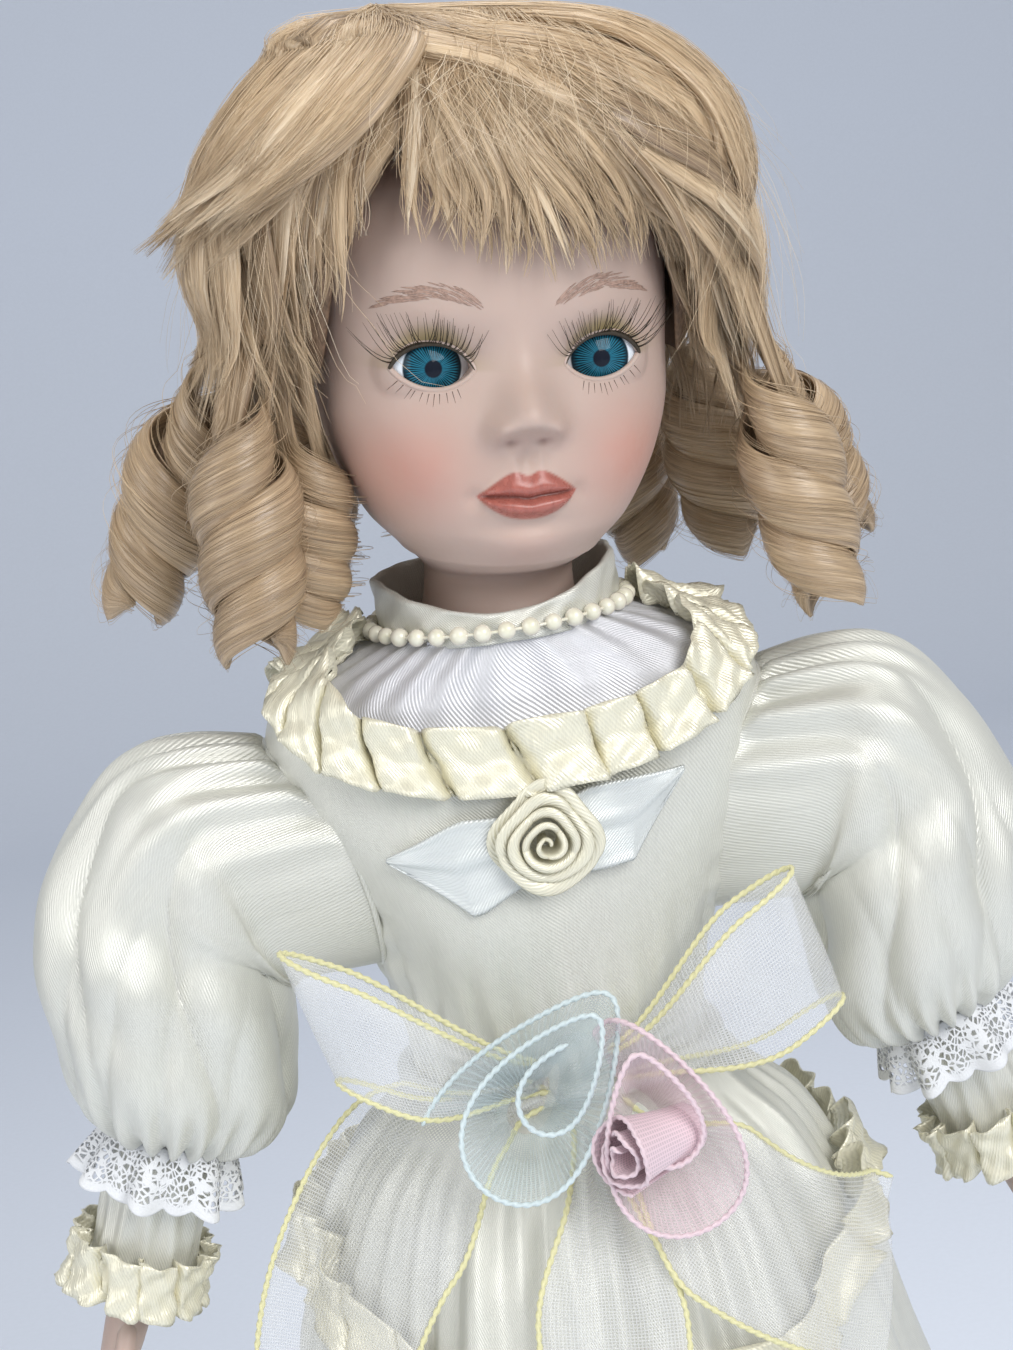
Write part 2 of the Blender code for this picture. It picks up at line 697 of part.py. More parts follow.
def make_head(pivot):
    angles = head_angles()
    low, high = HEAD[0][0], CROWN_CUT

    def neck_row(radius, height):
        return [Vector((radius * math.cos(a), radius * math.sin(a), height)) for a in angles]

    rows = []
    for height in (-0.0115, -0.0080, -0.0035, 0.0000, 0.0035):
        rows.append(neck_row(math.sqrt(NECK_BALL**2 - height**2), height))
    rows.append(neck_row(NECK_RADIUS, 0.0060))
    rows.append(neck_row(NECK_RADIUS, low - 0.0010))
    levels = (0.0, 0.05, 0.13, 0.22, 0.30, 0.36, 0.40, 0.44, 0.50, 0.58, 0.70, 0.85, 1.0)
    heights = [low + (high - low) * level for level in levels]
    rows += [[head_surface(height, a) for a in angles] for height in heights]
    inside = [high, low + (high - low) * 0.6, low + (high - low) * 0.25]
    for height in inside:
        axis_point = Vector((0, 0, height))
        rows.append([on_head(height, a, -BISQUE).lerp(axis_point, 0.05) for a in angles])
    rows.append(neck_row(NECK_RADIUS - BISQUE, low - 0.0010))
    rows.append(neck_row(NECK_RADIUS - BISQUE * 1.6, -0.0115))
    head = add_part("head", loft_mesh("head", rows, joined=True), BISQUE_COLOUR, pivot)
    for side, sign in SIDES:
        centre = eye_centre(sign)
        pocket = ball_mesh(side + "_eye_pocket", centre, [EYE_RADIUS + GAP] * 3, 18, 11)
        cut(head, add_cutter(side + "_eye_pocket", pocket, pivot))
        radii = (EYE_OPENING_WIDTH / 2, EYE_RADIUS, EYE_OPENING_HEIGHT / 2)
        opening = ball_mesh(side + "_eye_opening", centre - Vector((0, EYE_RADIUS * 0.8, 0)), radii, 16, 10)
        cut(head, add_cutter(side + "_eye_opening", opening, pivot))
        eye = ball_mesh(side + "_eye", (0, 0, 0), [EYE_RADIUS] * 3)
        add_part(side + "_eye", eye, EYE_TEAL, pivot).location = centre
        make_lash(side, centre, pivot)
    top = HEAD[-1][0]
    domes = [CROWN_CUT + GAP + (top - CROWN_CUT - GAP) * share for share in (0.0, 0.35, 0.62, 0.85, 1.0)]
    wall = BISQUE * 0.6
    outer = [[head_surface(height, a) for a in ring_angles(18)] for height in domes]
    inner = [[on_head(height, a, -wall) for a in ring_angles(18)] for height in domes[:-1]]
    inner[0] = [Vector((p.x, p.y, domes[0])) for p in inner[0]]
    inner.append([point - Vector((0, 0, wall)) for point in outer[-1]])
    pate = loft_mesh("pate", inner[::-1] + outer, capped=True)
    add_part("pate", pate, CARD, pivot)


def eye_centre(sign):
    front = next(
        head_surface(EYE_HEIGHT, a)
        for a in (-math.pi / 2 + 0.002 * k for k in range(800))
        if head_surface(EYE_HEIGHT, a).x >= EYE_SPACING / 2
    )
    return Vector((sign * EYE_SPACING / 2, front.y + EYE_RADIUS + EYE_SET_BACK, EYE_HEIGHT))


def make_lash(side, centre, pivot):
    """A strip of lashes along the upper edge of the eye opening, standing out from the eyeball."""
    rows = []
    for k in range(7):
        angle = math.radians(20.0 + 140.0 * k / 6)
        x = EYE_OPENING_WIDTH * 0.40 * math.cos(angle)
        z = EYE_OPENING_HEIGHT * 0.29 * math.sin(angle)
        away = EYE_RADIUS + 2 * GAP
        root = Vector((x, -math.sqrt(away**2 - x**2 - z**2), z))
        lid = root + Vector((0.0, -LASH_LENGTH * 0.55, 0.0))
        tip = lid + Vector((x * 0.3, -LASH_LENGTH * 0.45, LASH_LENGTH * 0.25))
        rows.append([centre + root, centre + lid, centre + tip])
    name = side + "_lash"
    thicken(add_part(name, loft_mesh(name, rows, rings=False), LASH_BROWN, pivot), GAP)


# Wig
def hair_edge(angle):
    return HAIR_BOTTOM + (HAIRLINE - HAIR_BOTTOM) * smooth_step(0.42, 0.72, -math.sin(angle))


def make_wig(pivot):
    columns = 28
    top = HEAD[-1][0]
    inner = []
    outer = []
    for k in range(7):
        share = (k / 6) ** 0.8
        near = []
        far = []
        for angle in ring_angles(columns):
            edge = hair_edge(angle)
            height = edge + (top - edge) * share
            thick = HAIR_SIDE + (HAIR_TOP - HAIR_SIDE) * share
            thick *= 0.62 + 0.38 * smooth_step(0.0, 0.3, share) if math.sin(angle) < -0.5 else 1.0
            for side, distance in ((near, HAIR_CLEAR), (far, thick)):
                point = on_head(height, angle, distance)
                point.z = max(point.z, edge)
                side.append(point)
        inner.append(near)
        outer.append(far)
    inner[-1] = [Vector((p.x, p.y, top + HAIR_CLEAR)) for p in inner[-1]]
    crown = loft_mesh("hair_crown", inner[::-1] + outer, capped=True)
    add_part("hair_crown", crown, GOLD_HAIR, pivot)
    make_fringe(pivot)
    for k in range(RINGLETS):
        make_ringlet(k, pivot)


def make_fringe(pivot):
    rows = []
    for k in range(4):
        row = []
        for c in range(13):
            angle = -math.pi / 2 + math.radians(-44.0 + 88.0 * c / 12)
            high = hair_edge(angle) - FRINGE_DROP
            low = FRINGE_BOTTOM + 0.0016 * math.cos(5.0 * angle)
            row.append(on_head(high + (low - high) * k / 3, angle, EASE))
        rows.append(row)
    fringe = add_part("fringe", loft_mesh("fringe", rows[::-1], rings=False), GOLD_HAIR, pivot)
    thicken(fringe, FRINGE_THICKNESS)


def make_ringlet(number, pivot):
    """A hanging sausage curl with its spiral groove."""
    start, end = math.radians(-17.0), math.radians(197.0)
    angle = start + (end - start) * number / (RINGLETS - 1)
    depth = RINGLET_BACK_ORBIT if math.sin(angle) > 0 else RINGLET_ORBIT
    middle = Vector((RINGLET_ORBIT * math.cos(angle), depth * math.sin(angle), 0.0))
    columns = 8
    steps = 9
    rows = []
    for k in range(steps + 1):
        share = k / steps
        height = HAIR_BOTTOM - GAP * 3 - RINGLET_LENGTH * share
        taper = 1.0 - 0.45 * share**3
        row = []
        for around in ring_angles(columns):
            groove = 0.84 + 0.16 * math.cos(around + math.tau * RINGLET_TURNS * share)
            radius = RINGLET_RADIUS * taper * groove
            row.append(middle + Vector((radius * math.cos(around), radius * math.sin(around), height)))
        rows.append(row)
    name = f"ringlet_{number + 1:02d}"
    add_part(name, loft_mesh(name, rows[::-1], capped=True), GOLD_HAIR, pivot)


# Arms
def make_arm(side, sign):
    spread = ARM_SPREAD[side]
    pivot = bpy.data.objects.new(side + "_shoulder_pivot", None)
    pivot.location = (sign * SHOULDER_X, 0.0, SHOULDER_HEIGHT)
    PARTS.objects.link(pivot)
    down = Vector((sign * math.sin(spread), 0.0, -math.cos(spread)))
    out = Vector((sign * math.cos(spread), 0.0, math.sin(spread)))
    depth = Vector((0.0, 1.0, 0.0))

    def arm_ring(along, shift, wide, deep, columns=SLEEVE_COLUMNS, wave=0.0, count=0):
        centre = down * along + out * shift
        ring = []
        for angle in ring_angles(columns):
            swell = 1.0 + wave * math.cos(count * angle)
            sideways = out * wide * math.cos(angle) + depth * deep * math.sin(angle)
            ring.append(centre + sideways * swell)
        return ring

    make_upper_arm(side, sign, pivot, down)
    make_forearm(side, pivot, arm_ring)
    make_sleeve(side, sign, pivot, spread, arm_ring)
    make_cuff(side, pivot, arm_ring)


def make_upper_arm(side, sign, pivot, down):
    inner = Vector((sign * (STUB_END - SHOULDER_X), 0.0, 0.0))
    bend = down * STUB_RADIUS * 0.2 - inner * 0.25
    points = [inner, inner * 0.6, inner * 0.25, bend, bend + down * STUB_RADIUS * 0.9]
    radii = [STUB_RADIUS] * 5
    for along, swell in ((0.35, 1.07), (0.58, 1.09), (0.81, 0.95), (1.0, 0.82)):
        points.append(down * (ELBOW - GAP) * along)
        radii.append(STUB_RADIUS * swell)
    add_part(side + "_upper_arm", tube_curve(side + "_upper_arm", points, radii, 3), MUSLIN, pivot)


def make_forearm(side, pivot, arm_ring):
    """Bisque lower arm with a mitten hand whose palm faces the thigh."""
    sections = (
        (ELBOW, FOREARM_RADIUS, FOREARM_RADIUS),
        (ELBOW + 0.010, FOREARM_RADIUS * 1.08, FOREARM_RADIUS * 1.08),
        (WRIST - 0.012, WRIST_RADIUS * 1.1, WRIST_RADIUS * 1.1),
        (WRIST, WRIST_RADIUS * 0.85, WRIST_RADIUS),
        (WRIST + 0.006, WRIST_RADIUS * 0.75, WRIST_RADIUS * 1.25),
        (WRIST + 0.013, WRIST_RADIUS * 0.66, WRIST_RADIUS * 1.32),
        (HAND_END - 0.007, WRIST_RADIUS * 0.52, WRIST_RADIUS * 1.10),
        (HAND_END - 0.002, WRIST_RADIUS * 0.40, WRIST_RADIUS * 0.85),
        (HAND_END, WRIST_RADIUS * 0.20, WRIST_RADIUS * 0.45),
    )
    rows = [arm_ring(along, 0.0, wide, deep, 12) for along, wide, deep in sections]
    add_part(side + "_forearm", loft_mesh(side + "_forearm", rows, capped=True), BISQUE_COLOUR, pivot)


def bodice_side(height, y):
    """X of a seam that lies just outside the bodice at its side."""
    half_width, half_depth = between(TORSO, height)
    share = 1.0 - (abs(y) / half_depth) ** TORSO_SQUARENESS
    return half_width * share ** (1.0 / TORSO_SQUARENESS) + CLOTH + ARMHOLE_EASE


def make_sleeve(side, sign, pivot, spread, arm_ring):
    """A full sleeve that turns down out of the armhole and is drawn in above the cuff."""
    armpit = Vector((sign * (ARMPIT_X - SHOULDER_X), 0.0, ARMPIT_HEIGHT - SHOULDER_HEIGHT))
    depth = Vector((0.0, 1.0, 0.0))
    rows = []
    turn_end = math.pi / 2 - spread
    for k in range(5):
        turn = turn_end * k / 4
        lean = Vector((sign * math.sin(turn), 0.0, math.cos(turn)))
        size = SLEEVE_RADIUS * (0.80 + 0.20 * smooth_step(0.0, 0.5, k / 4))
        centre = armpit + lean * SLEEVE_RADIUS * (0.90 + 0.10 * k / 4)
        ring = []
        for angle in ring_angles(SLEEVE_COLUMNS):
            point = centre + lean * size * math.cos(angle) + depth * size * 0.92 * math.sin(angle)
            if k == 0:
                point.x = sign * (bodice_side(point.z + SHOULDER_HEIGHT, point.y) - SHOULDER_X)
            ring.append(point)
        rows.append(ring)
    lean = Vector((sign * math.cos(spread), 0.0, math.sin(spread)))
    down = Vector((sign * math.sin(spread), 0.0, -math.cos(spread)))
    centre = armpit + lean * SLEEVE_RADIUS
    reach = centre.dot(down)
    side_shift = centre.dot(lean)
    for share, size in ((0.25, 1.02), (0.5, 0.99), (0.75, 0.86), (0.92, 0.64), (1.0, 0.50)):
        along = reach + (SLEEVE_END - reach) * share
        shift = side_shift * (1.0 - smooth_step(0.0, 1.0, share))
        wave = 0.05 * share
        rows.append(arm_ring(along, shift, SLEEVE_RADIUS * size, SLEEVE_RADIUS * size, wave=wave, count=10))
    data = loft_mesh(side + "_sleeve", rows[::-1] if sign > 0 else rows)
    sleeve = add_part(side + "_sleeve", data, IVORY_SATIN, pivot)
    thicken(sleeve, CLOTH)


def make_cuff(side, pivot, arm_ring):
    start = SLEEVE_END + CLOTH
    sign = dict(SIDES)[side]

    def add_tube(name, rows, look, thickness):
        data = loft_mesh(side + name, rows[::-1] if sign > 0 else rows)
        thicken(add_part(side + name, data, look, pivot), thickness)

    heights = [start, (start + CUFF_END) / 2, CUFF_END]
    tube = [arm_ring(along, 0.0, CUFF_RADIUS, CUFF_RADIUS, 14) for along in heights]
    add_tube("_cuff", tube, IVORY_SATIN, CLOTH)
    lace = []
    for k in range(3):
        radius = CUFF_RADIUS + CLOTH + EASE + (0.0035 * k / 2)
        lace.append(arm_ring(start + LACE_WIDTH * k / 2, 0.0, radius, radius, 24, 0.035 * k, 8))
    add_tube("_sleeve_lace", lace, LACE_WHITE, RIBBON)
    ruffle = []
    columns = CUFF_PLEATS * PLEAT_COLUMNS
    for k, lift in ((0, 0.6), (1, 0.0), (2, 1.0)):
        radius = CUFF_RADIUS + CLOTH + EASE + RUFFLE_LIFT * 0.6 * lift
        along = CUFF_END - RUFFLE_WIDTH * (0.75 - 0.5 * k)
        ruffle.append(arm_ring(along, 0.0, radius, radius, columns, 0.08 * lift, CUFF_PLEATS))
    add_tube("_cuff_ruffle", ruffle, CREAM_RIBBON, RIBBON)


# Legs
def make_leg(side, sign):
    pivot = bpy.data.objects.new(side + "_hip_pivot", None)
    pivot.location = (sign * HIP_X, 0.0, HIP_HEIGHT)
    PARTS.objects.link(pivot)
    columns = 14

    def leg_ring(height, radius):
        return round_ring(radius, height - HIP_HEIGHT, columns)

    rows = []
    for k in range(4):
        height = HIP_BALL * math.cos(math.radians(24.0 + 22.0 * k))
        rows.append(leg_ring(HIP_HEIGHT + height, math.sqrt(HIP_BALL**2 - height**2)))
    thigh = (HIP_HEIGHT - 0.030, HIP_BALL * 0.97), (KNEE + 0.030, HIP_BALL * 0.90), (KNEE, KNEE_RADIUS)
    rows += [leg_ring(height, radius) for height, radius in thigh]
    name = side + "_upper_leg"
    add_part(name, loft_mesh(name, rows[::-1], capped=True), MUSLIN, pivot)
    shin = (
        (KNEE - GAP, KNEE_RADIUS),
        (KNEE - 0.010, KNEE_RADIUS * 0.94),
        (KNEE - 0.030, CALF_RADIUS),
        ((KNEE + ANKLE) / 2 - 0.008, CALF_RADIUS * 0.86),
        (ANKLE, ANKLE_RADIUS),
        (INSOLE + GAP, ANKLE_RADIUS),
    )
    rows = [leg_ring(height, radius) for height, radius in shin]
    name = side + "_lower_leg"
    add_part(name, loft_mesh(name, rows[::-1], capped=True), BISQUE_COLOUR, pivot)
    make_shoe(side, pivot, columns)


def make_shoe(side, pivot, columns):
    heel = ANKLE_RADIUS * 1.6
    middle = heel - SHOE_LENGTH / 2
    rows = []
    for share, size in ((0.0, 0.93), (0.1, 0.98), (0.35, 1.0), (0.7, 0.90), (1.0, 0.66)):
        row = []
        for angle in ring_angles(columns):
            x = SHOE_WIDTH / 2 * size * math.cos(angle)
            y = middle + SHOE_LENGTH / 2 * size * math.sin(angle)
            height = SHOE_HEIGHT * share
            if y < middle:
                height *= 1.0 - 0.45 * share * (middle - y) / (SHOE_LENGTH / 2)
            row.append(Vector((x, y, height - HIP_HEIGHT)))
        rows.append(row)
    shoe = add_part(side + "_shoe", loft_mesh(side + "_shoe", rows, capped=True), SHOE_WHITE, pivot)
    top = Vector((0, 0, SHOE_HEIGHT * 2 - HIP_HEIGHT))
    well = rod_mesh(side + "_shoe_well", (0, 0, INSOLE - HIP_HEIGHT), top, ANKLE_RADIUS + GAP)
    cut(shoe, add_cutter(side + "_shoe_well", well, pivot))


SIDES = (("left", 1.0), ("right", -1.0))

clear_scene()
PARTS = new_collection(DOLL)
CUTTERS = new_collection("cutters")

make_body()
make_shoulder_plate()
make_bodice()
make_yoke()
make_collar()
make_pearls()
make_yoke_ruffle()
make_flower()
make_skirt()
make_bow()
make_bow_roses()

head_pivot = bpy.data.objects.new("head_pivot", None)
head_pivot.location = (0.0, 0.0, NECK_PIVOT)
tilt = Matrix.Rotation(HEAD_TILT, 3, "Y")
turn = Matrix.Rotation(HEAD_TURN, 3, "Z")
nod = Matrix.Rotation(HEAD_NOD, 3, "X")
head_pivot.rotation_euler = (tilt @ turn @ nod).to_euler()
PARTS.objects.link(head_pivot)
make_head(head_pivot)
make_wig(head_pivot)

for side, sign in SIDES:
    make_arm(side, sign)
    make_leg(side, sign)

bpy.context.view_layer.update()
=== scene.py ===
"""Dressed porcelain doll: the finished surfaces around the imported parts.

Lengths are in metres. The doll stands at z = 0, faces -Y and has its own left side at +X.
"""
import math

import bpy
import numpy as np
from bpy.props import FloatProperty, FloatVectorProperty, PointerProperty
from mathutils import Matrix, Vector


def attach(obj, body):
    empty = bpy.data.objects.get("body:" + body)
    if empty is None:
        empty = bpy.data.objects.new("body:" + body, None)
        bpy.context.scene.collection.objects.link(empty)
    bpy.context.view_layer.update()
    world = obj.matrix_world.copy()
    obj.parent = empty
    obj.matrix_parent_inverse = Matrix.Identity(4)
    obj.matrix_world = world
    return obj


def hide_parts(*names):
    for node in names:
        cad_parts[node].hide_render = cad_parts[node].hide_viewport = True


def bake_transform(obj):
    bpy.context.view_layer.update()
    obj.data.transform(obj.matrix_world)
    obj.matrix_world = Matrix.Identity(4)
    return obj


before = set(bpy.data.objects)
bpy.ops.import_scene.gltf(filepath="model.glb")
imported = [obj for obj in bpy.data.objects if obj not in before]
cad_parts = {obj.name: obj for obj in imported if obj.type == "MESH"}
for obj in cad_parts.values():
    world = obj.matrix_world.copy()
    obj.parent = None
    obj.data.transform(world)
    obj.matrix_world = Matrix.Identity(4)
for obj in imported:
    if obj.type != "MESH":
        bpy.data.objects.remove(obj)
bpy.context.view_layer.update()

bl_info = {
    "name": "Porcelain Doll",
    "version": (1, 0, 0),
    "blender": (4, 5, 0),
    "location": "View3D > Sidebar > Doll",
    "description": "Dresses a jointed porcelain doll with its face, wig, satin dress and organza bow",
    "category": "Object",
}

MM = 0.001
# A full turn, near enough for a phase drawn at random
ROUND = 6.28
SIDES = (("left", 1.0), ("right", -1.0))

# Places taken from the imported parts
NECK_PIVOT = Vector((0.0, 0.0, 0.3450))
HEAD_TILT = math.radians(5.0)
HEAD_TURN = math.radians(4.0)
HEAD_NOD = math.radians(3.0)
EYE_RADIUS = 8.8 * MM

# Head: height over the neck pivot, half width, front depth and back depth of each section, in millimetres
HEAD_SECTIONS = (
    (11.5, 12.6, 14.0, 12.8),
    (13.5, 14.0, 20.5, 13.8),
    (15.5, 16.5, 25.6, 15.0),
    (21.0, 21.6, 29.8, 19.5),
    (27.5, 25.4, 30.6, 25.0),
    (34.0, 27.9, 31.2, 29.5),
    (40.0, 29.2, 31.6, 33.0),
    (48.0, 29.4, 30.6, 35.2),
    (57.0, 29.6, 32.0, 36.0),
    (67.0, 29.0, 31.2, 35.0),
    (76.0, 26.2, 27.0, 31.2),
    (83.0, 21.0, 20.5, 25.0),
    (88.0, 13.0, 12.0, 16.0),
    (90.0, 5.0, 4.0, 7.0),
)
HEAD_SQUARENESS = 2.15
# The face, in millimetres sideways of its middle and over the neck pivot
EYE_X = 13.5
EYE_Z = 48.0
EYE_HALF = 6.5
LID_GAP = 0.75
EYE_HOLE_DEPTH = 4.5
MOUTH_Z = 27.5
MOUTH_HALF = 8.1
NOSE_TIP_Z = 39.8
# Soft forms of the face: rise, distance sideways, half width, height and half height
FACE_FORMS = {
    "nose wings": (3.0, 4.7, 2.1, 38.4, 2.3),
    "nostrils": (-1.3, 2.7, 1.4, 36.5, 0.9),
    "muzzle": (1.3, 0.0, 9.0, 28.0, 6.0),
    "mouth corners": (-0.7, MOUTH_HALF + 0.3, 1.5, MOUTH_Z, 1.6),
    "chin": (1.7, 0.0, 7.5, 18.6, 3.8),
    "dent over the chin": (-1.0, 0.0, 7.0, 22.6, 1.7),
    "cheeks": (1.7, 16.5, 8.0, 33.0, 7.5),
    "eye sockets": (-1.5, 12.5, 7.5, 49.5, 4.5),
    "brow ridge": (0.5, 13.0, 9.0, 57.5, 3.0),
}


# Numbers and meshes
def smooth(low, high, value):
    t = np.clip((value - low) / (high - low), 0.0, 1.0)
    return t * t * (3 - 2 * t)


def bump(value, centre, width):
    return np.exp(-(((value - centre) / width) ** 2))


def spot(x, z, at_x, half_width, at_z, half_height):
    """A soft round spot of height 1 in the plane of x and z."""
    return np.exp(-(((x - at_x) / half_width) ** 2) - ((z - at_z) / half_height) ** 2)


def power(value, exponent):
    return np.sign(value) * np.abs(value) ** exponent


def between(a, b, c, d, t):
    """The share t of the way from b to c on a smooth curve through a, b, c and d."""
    bend = (2 * a - 5 * b + 4 * c - d) * t**2 + (3 * b - a - 3 * c + d) * t**3
    return b + 0.5 * ((c - a) * t + bend)


def through(stops, heights):
    """Smooth columns of a table whose rows start with a rising height, at the given heights."""
    table = np.asarray(stops, float)
    heights = np.asarray(heights, float)
    k = np.clip(np.searchsorted(table[:, 0], heights, side="right") - 1, 0, len(table) - 2)
    t = np.clip((heights - table[k, 0]) / (table[k + 1, 0] - table[k, 0]), 0.0, 1.0)[..., None]
    last = len(table) - 1
    found = between(*(table[np.clip(k + step, 0, last), 1:] for step in (-1, 0, 1, 2)), t)
    return [found[..., i] for i in range(found.shape[-1])]


def turn(columns):
    """Even angles round a full turn."""
    return np.linspace(0.0, 2 * np.pi, columns, endpoint=False)


def shares(count):
    """Even steps from 0 to 1."""
    return np.linspace(0.0, 1.0, count)


def ball(rings, sides):
    """Points of a ball of radius 1, with their angles from its lowest point and round its upright axis."""
    polar, around = np.meshgrid(np.linspace(0.0, np.pi, rings), turn(sides), indexing="ij")
    wide = np.sin(polar)
    return np.stack([wide * np.cos(around), wide * np.sin(around), -np.cos(polar)], -1), polar, around


def unit(vectors):
    return vectors / np.maximum(np.linalg.norm(vectors, axis=-1, keepdims=True), 1e-12)


def fill_mesh(name, points, corners, starts, uv=None):
    """A smooth mesh from points, the corners of all its faces in one row and where each face starts in it."""
    points = np.asarray(points, np.float32)
    mesh = bpy.data.meshes.new(name)
    mesh.vertices.add(points.size // 3)
    mesh.vertices.foreach_set("co", points.ravel())
    mesh.loops.add(len(corners))
    mesh.polygons.add(len(starts))
    mesh.polygons.foreach_set("loop_start", np.asarray(starts, np.int32))
    mesh.polygons.foreach_set("vertices", np.asarray(corners, np.int32))
    if uv is not None:
        layer = mesh.uv_layers.new(name="UVMap")
        layer.uv.foreach_set("vector", np.asarray(uv, np.float32).ravel())
    mesh.update(calc_edges=True)
    mesh.shade_smooth()
    return mesh


def build_mesh(name, points, faces, uv):
    """A smooth mesh from points and equal-sided faces, with a texture place for each face corner."""
    count, sides = faces.shape
    return fill_mesh(name, points, faces.ravel(), np.arange(count) * sides, uv)


def grid_faces(rows, columns, ring=False, loop=False):
    """Corner numbers of a grid's quads, with the same corners counted past the seams."""
    down = np.arange(rows if loop else rows - 1)
    along = np.arange(columns if ring else columns - 1)
    r, c = np.meshgrid(down, along, indexing="ij")
    corners = [(r, c), (r, c + 1), (r + 1, c + 1), (r + 1, c)]
    faces = np.stack([(a % rows) * columns + b % columns for a, b in corners], -1).reshape(-1, 4)
    places = np.stack([np.stack([b, a], -1) for a, b in corners], -2).reshape(-1, 4, 2)
    return faces, places


def line_length(points, axis):
    return np.linalg.norm(np.diff(points, axis=axis), axis=-1).sum(axis)


def add_piece(name, mesh, body, material, nodes=()):
    """A finished piece that rides on a body and stands for the named parts."""
    piece = bpy.data.objects.new(name, mesh)
    bpy.context.scene.collection.objects.link(piece)
    mesh.materials.append(material)
    if body:
        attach(piece, body)
    if nodes:
        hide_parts(*nodes)
    return piece


def grid_mesh(name, rows, ring=False, loop=False, flip=False):
    """A mesh over rows of points, whose texture places are in metres of cloth."""
    rows = np.asarray(rows, float)
    faces, places = grid_faces(rows.shape[0], rows.shape[1], ring, loop)
    closed = np.concatenate([rows, rows[:, :1]], 1) if ring else rows
    wide = line_length(closed, 1).mean() / (closed.shape[1] - 1)
    tall = line_length(rows, 0).mean() / max(rows.shape[0] - 1, 1)
    uv = places * np.array([wide, tall])
    if flip:
        faces, uv = faces[:, ::-1], uv[:, ::-1]
    return build_mesh(name, rows, faces, uv)


# Shortest side of a flat sheet
SHEET_SIDE = 0.01


def thicken(piece, thickness, offset=1.0):
    change = piece.modifiers.new("thickness", "SOLIDIFY")
    change.thickness = thickness
    change.offset = offset
    change.use_even_offset = False
    return piece


def declare_sheet(rows, ring=False):
    """Works out how large the flat cloth of a piece is, from its own rows and columns; the result is not
    kept.
    """
    closed = np.concatenate([rows, rows[:, :1]], 1) if ring else rows
    a = closed[:-1, :-1]
    area = np.linalg.norm(np.cross(closed[1:, :-1] - a, closed[:-1, 1:] - a), axis=-1).sum()
    width = max(line_length(closed, 1).max(), SHEET_SIDE)
    length = max(line_length(rows, 0).max(), SHEET_SIDE)
    area = float(np.clip(area, 0.3 * width * length, width * length))


def add_cloth(
    name, rows, body, material, node, thickness, ring=True, offset=1.0, flip=False
):
    """A sewn piece of cloth that stands for one part: a thickened sheet over rows of points."""
    mesh = grid_mesh(name, rows, ring=ring, flip=flip)
    piece = thicken(add_piece(name, mesh, body, material, [node]), thickness, offset)
    declare_sheet(rows, ring=ring)
    return piece


def tube_rows(path, radius, sides=8, closed=False, start_up=(0.0, 0.0, 1.0)):
    """Rings of points round a path. The radius is one number, one for each point or one for each corner."""
    path = np.asarray(path, float)
    ahead = unit(np.roll(path, -1, 0) - np.roll(path, 1, 0) if closed else np.gradient(path, axis=0))
    up = np.broadcast_to(np.asarray(start_up, float), path.shape)
    side = unit(np.cross(ahead, up))
    up = np.cross(side, ahead)
    angle = turn(sides)
    radius = np.asarray(radius, float)
    radius = radius if radius.ndim == 2 else np.broadcast_to(radius, (len(path),))[:, None]
    ring = np.cos(angle)[None, :, None] * side[:, None] + np.sin(angle)[None, :, None] * up[:, None]
    return path[:, None] + ring * radius[..., None]


def add_tube(name, path, radius, sides, body, material, start_up, closed=True):
    """A round cord, rim or piping along a path."""
    rows = tube_rows(path, radius, sides, closed, start_up)
    return add_piece(name, grid_mesh(name, rows, ring=True, loop=closed), body, material)


def strand_mesh(name, paths, widths, outward, flatness):
    """Thin three-sided strands along many paths, each drawn to a point at its tip.

    paths is strands x points x 3, widths is strands x points, outward points away from the surface below.
    """
    paths = np.asarray(paths, float)
    count, points, _ = paths.shape
    ahead = unit(np.gradient(paths, axis=1))
    side = unit(np.cross(ahead, outward))
    lift = np.cross(side, ahead)
    half = np.asarray(widths, float)[..., None] / 2
    corners = [paths + side * half, paths - side * half, paths + lift * half * 2 * flatness]
    rings = np.stack(corners, 2)
    index = np.arange(count * points * 3).reshape(count, points, 3)
    quads = []
    for k in range(3):
        after = (k + 1) % 3
        quad = (index[:, :-1, k], index[:, :-1, after], index[:, 1:, after], index[:, 1:, k])
        quads.append(np.stack(quad, -1).reshape(-1, 4))
    faces = np.concatenate(quads)
    first, last = index[:, 0], index[:, -1]
    ends = np.concatenate([first[:, [0, 2, 1]], last])
    starts = np.concatenate([np.arange(len(faces)) * 4, faces.size + np.arange(len(ends)) * 3])
    return fill_mesh(name, rings, np.concatenate([faces.ravel(), ends.ravel()]), starts)


def set_attribute(mesh, name, values):
    attribute = mesh.attributes.new(name, "FLOAT", "POINT")
    attribute.data.foreach_set("value", np.asarray(values, np.float32).ravel())


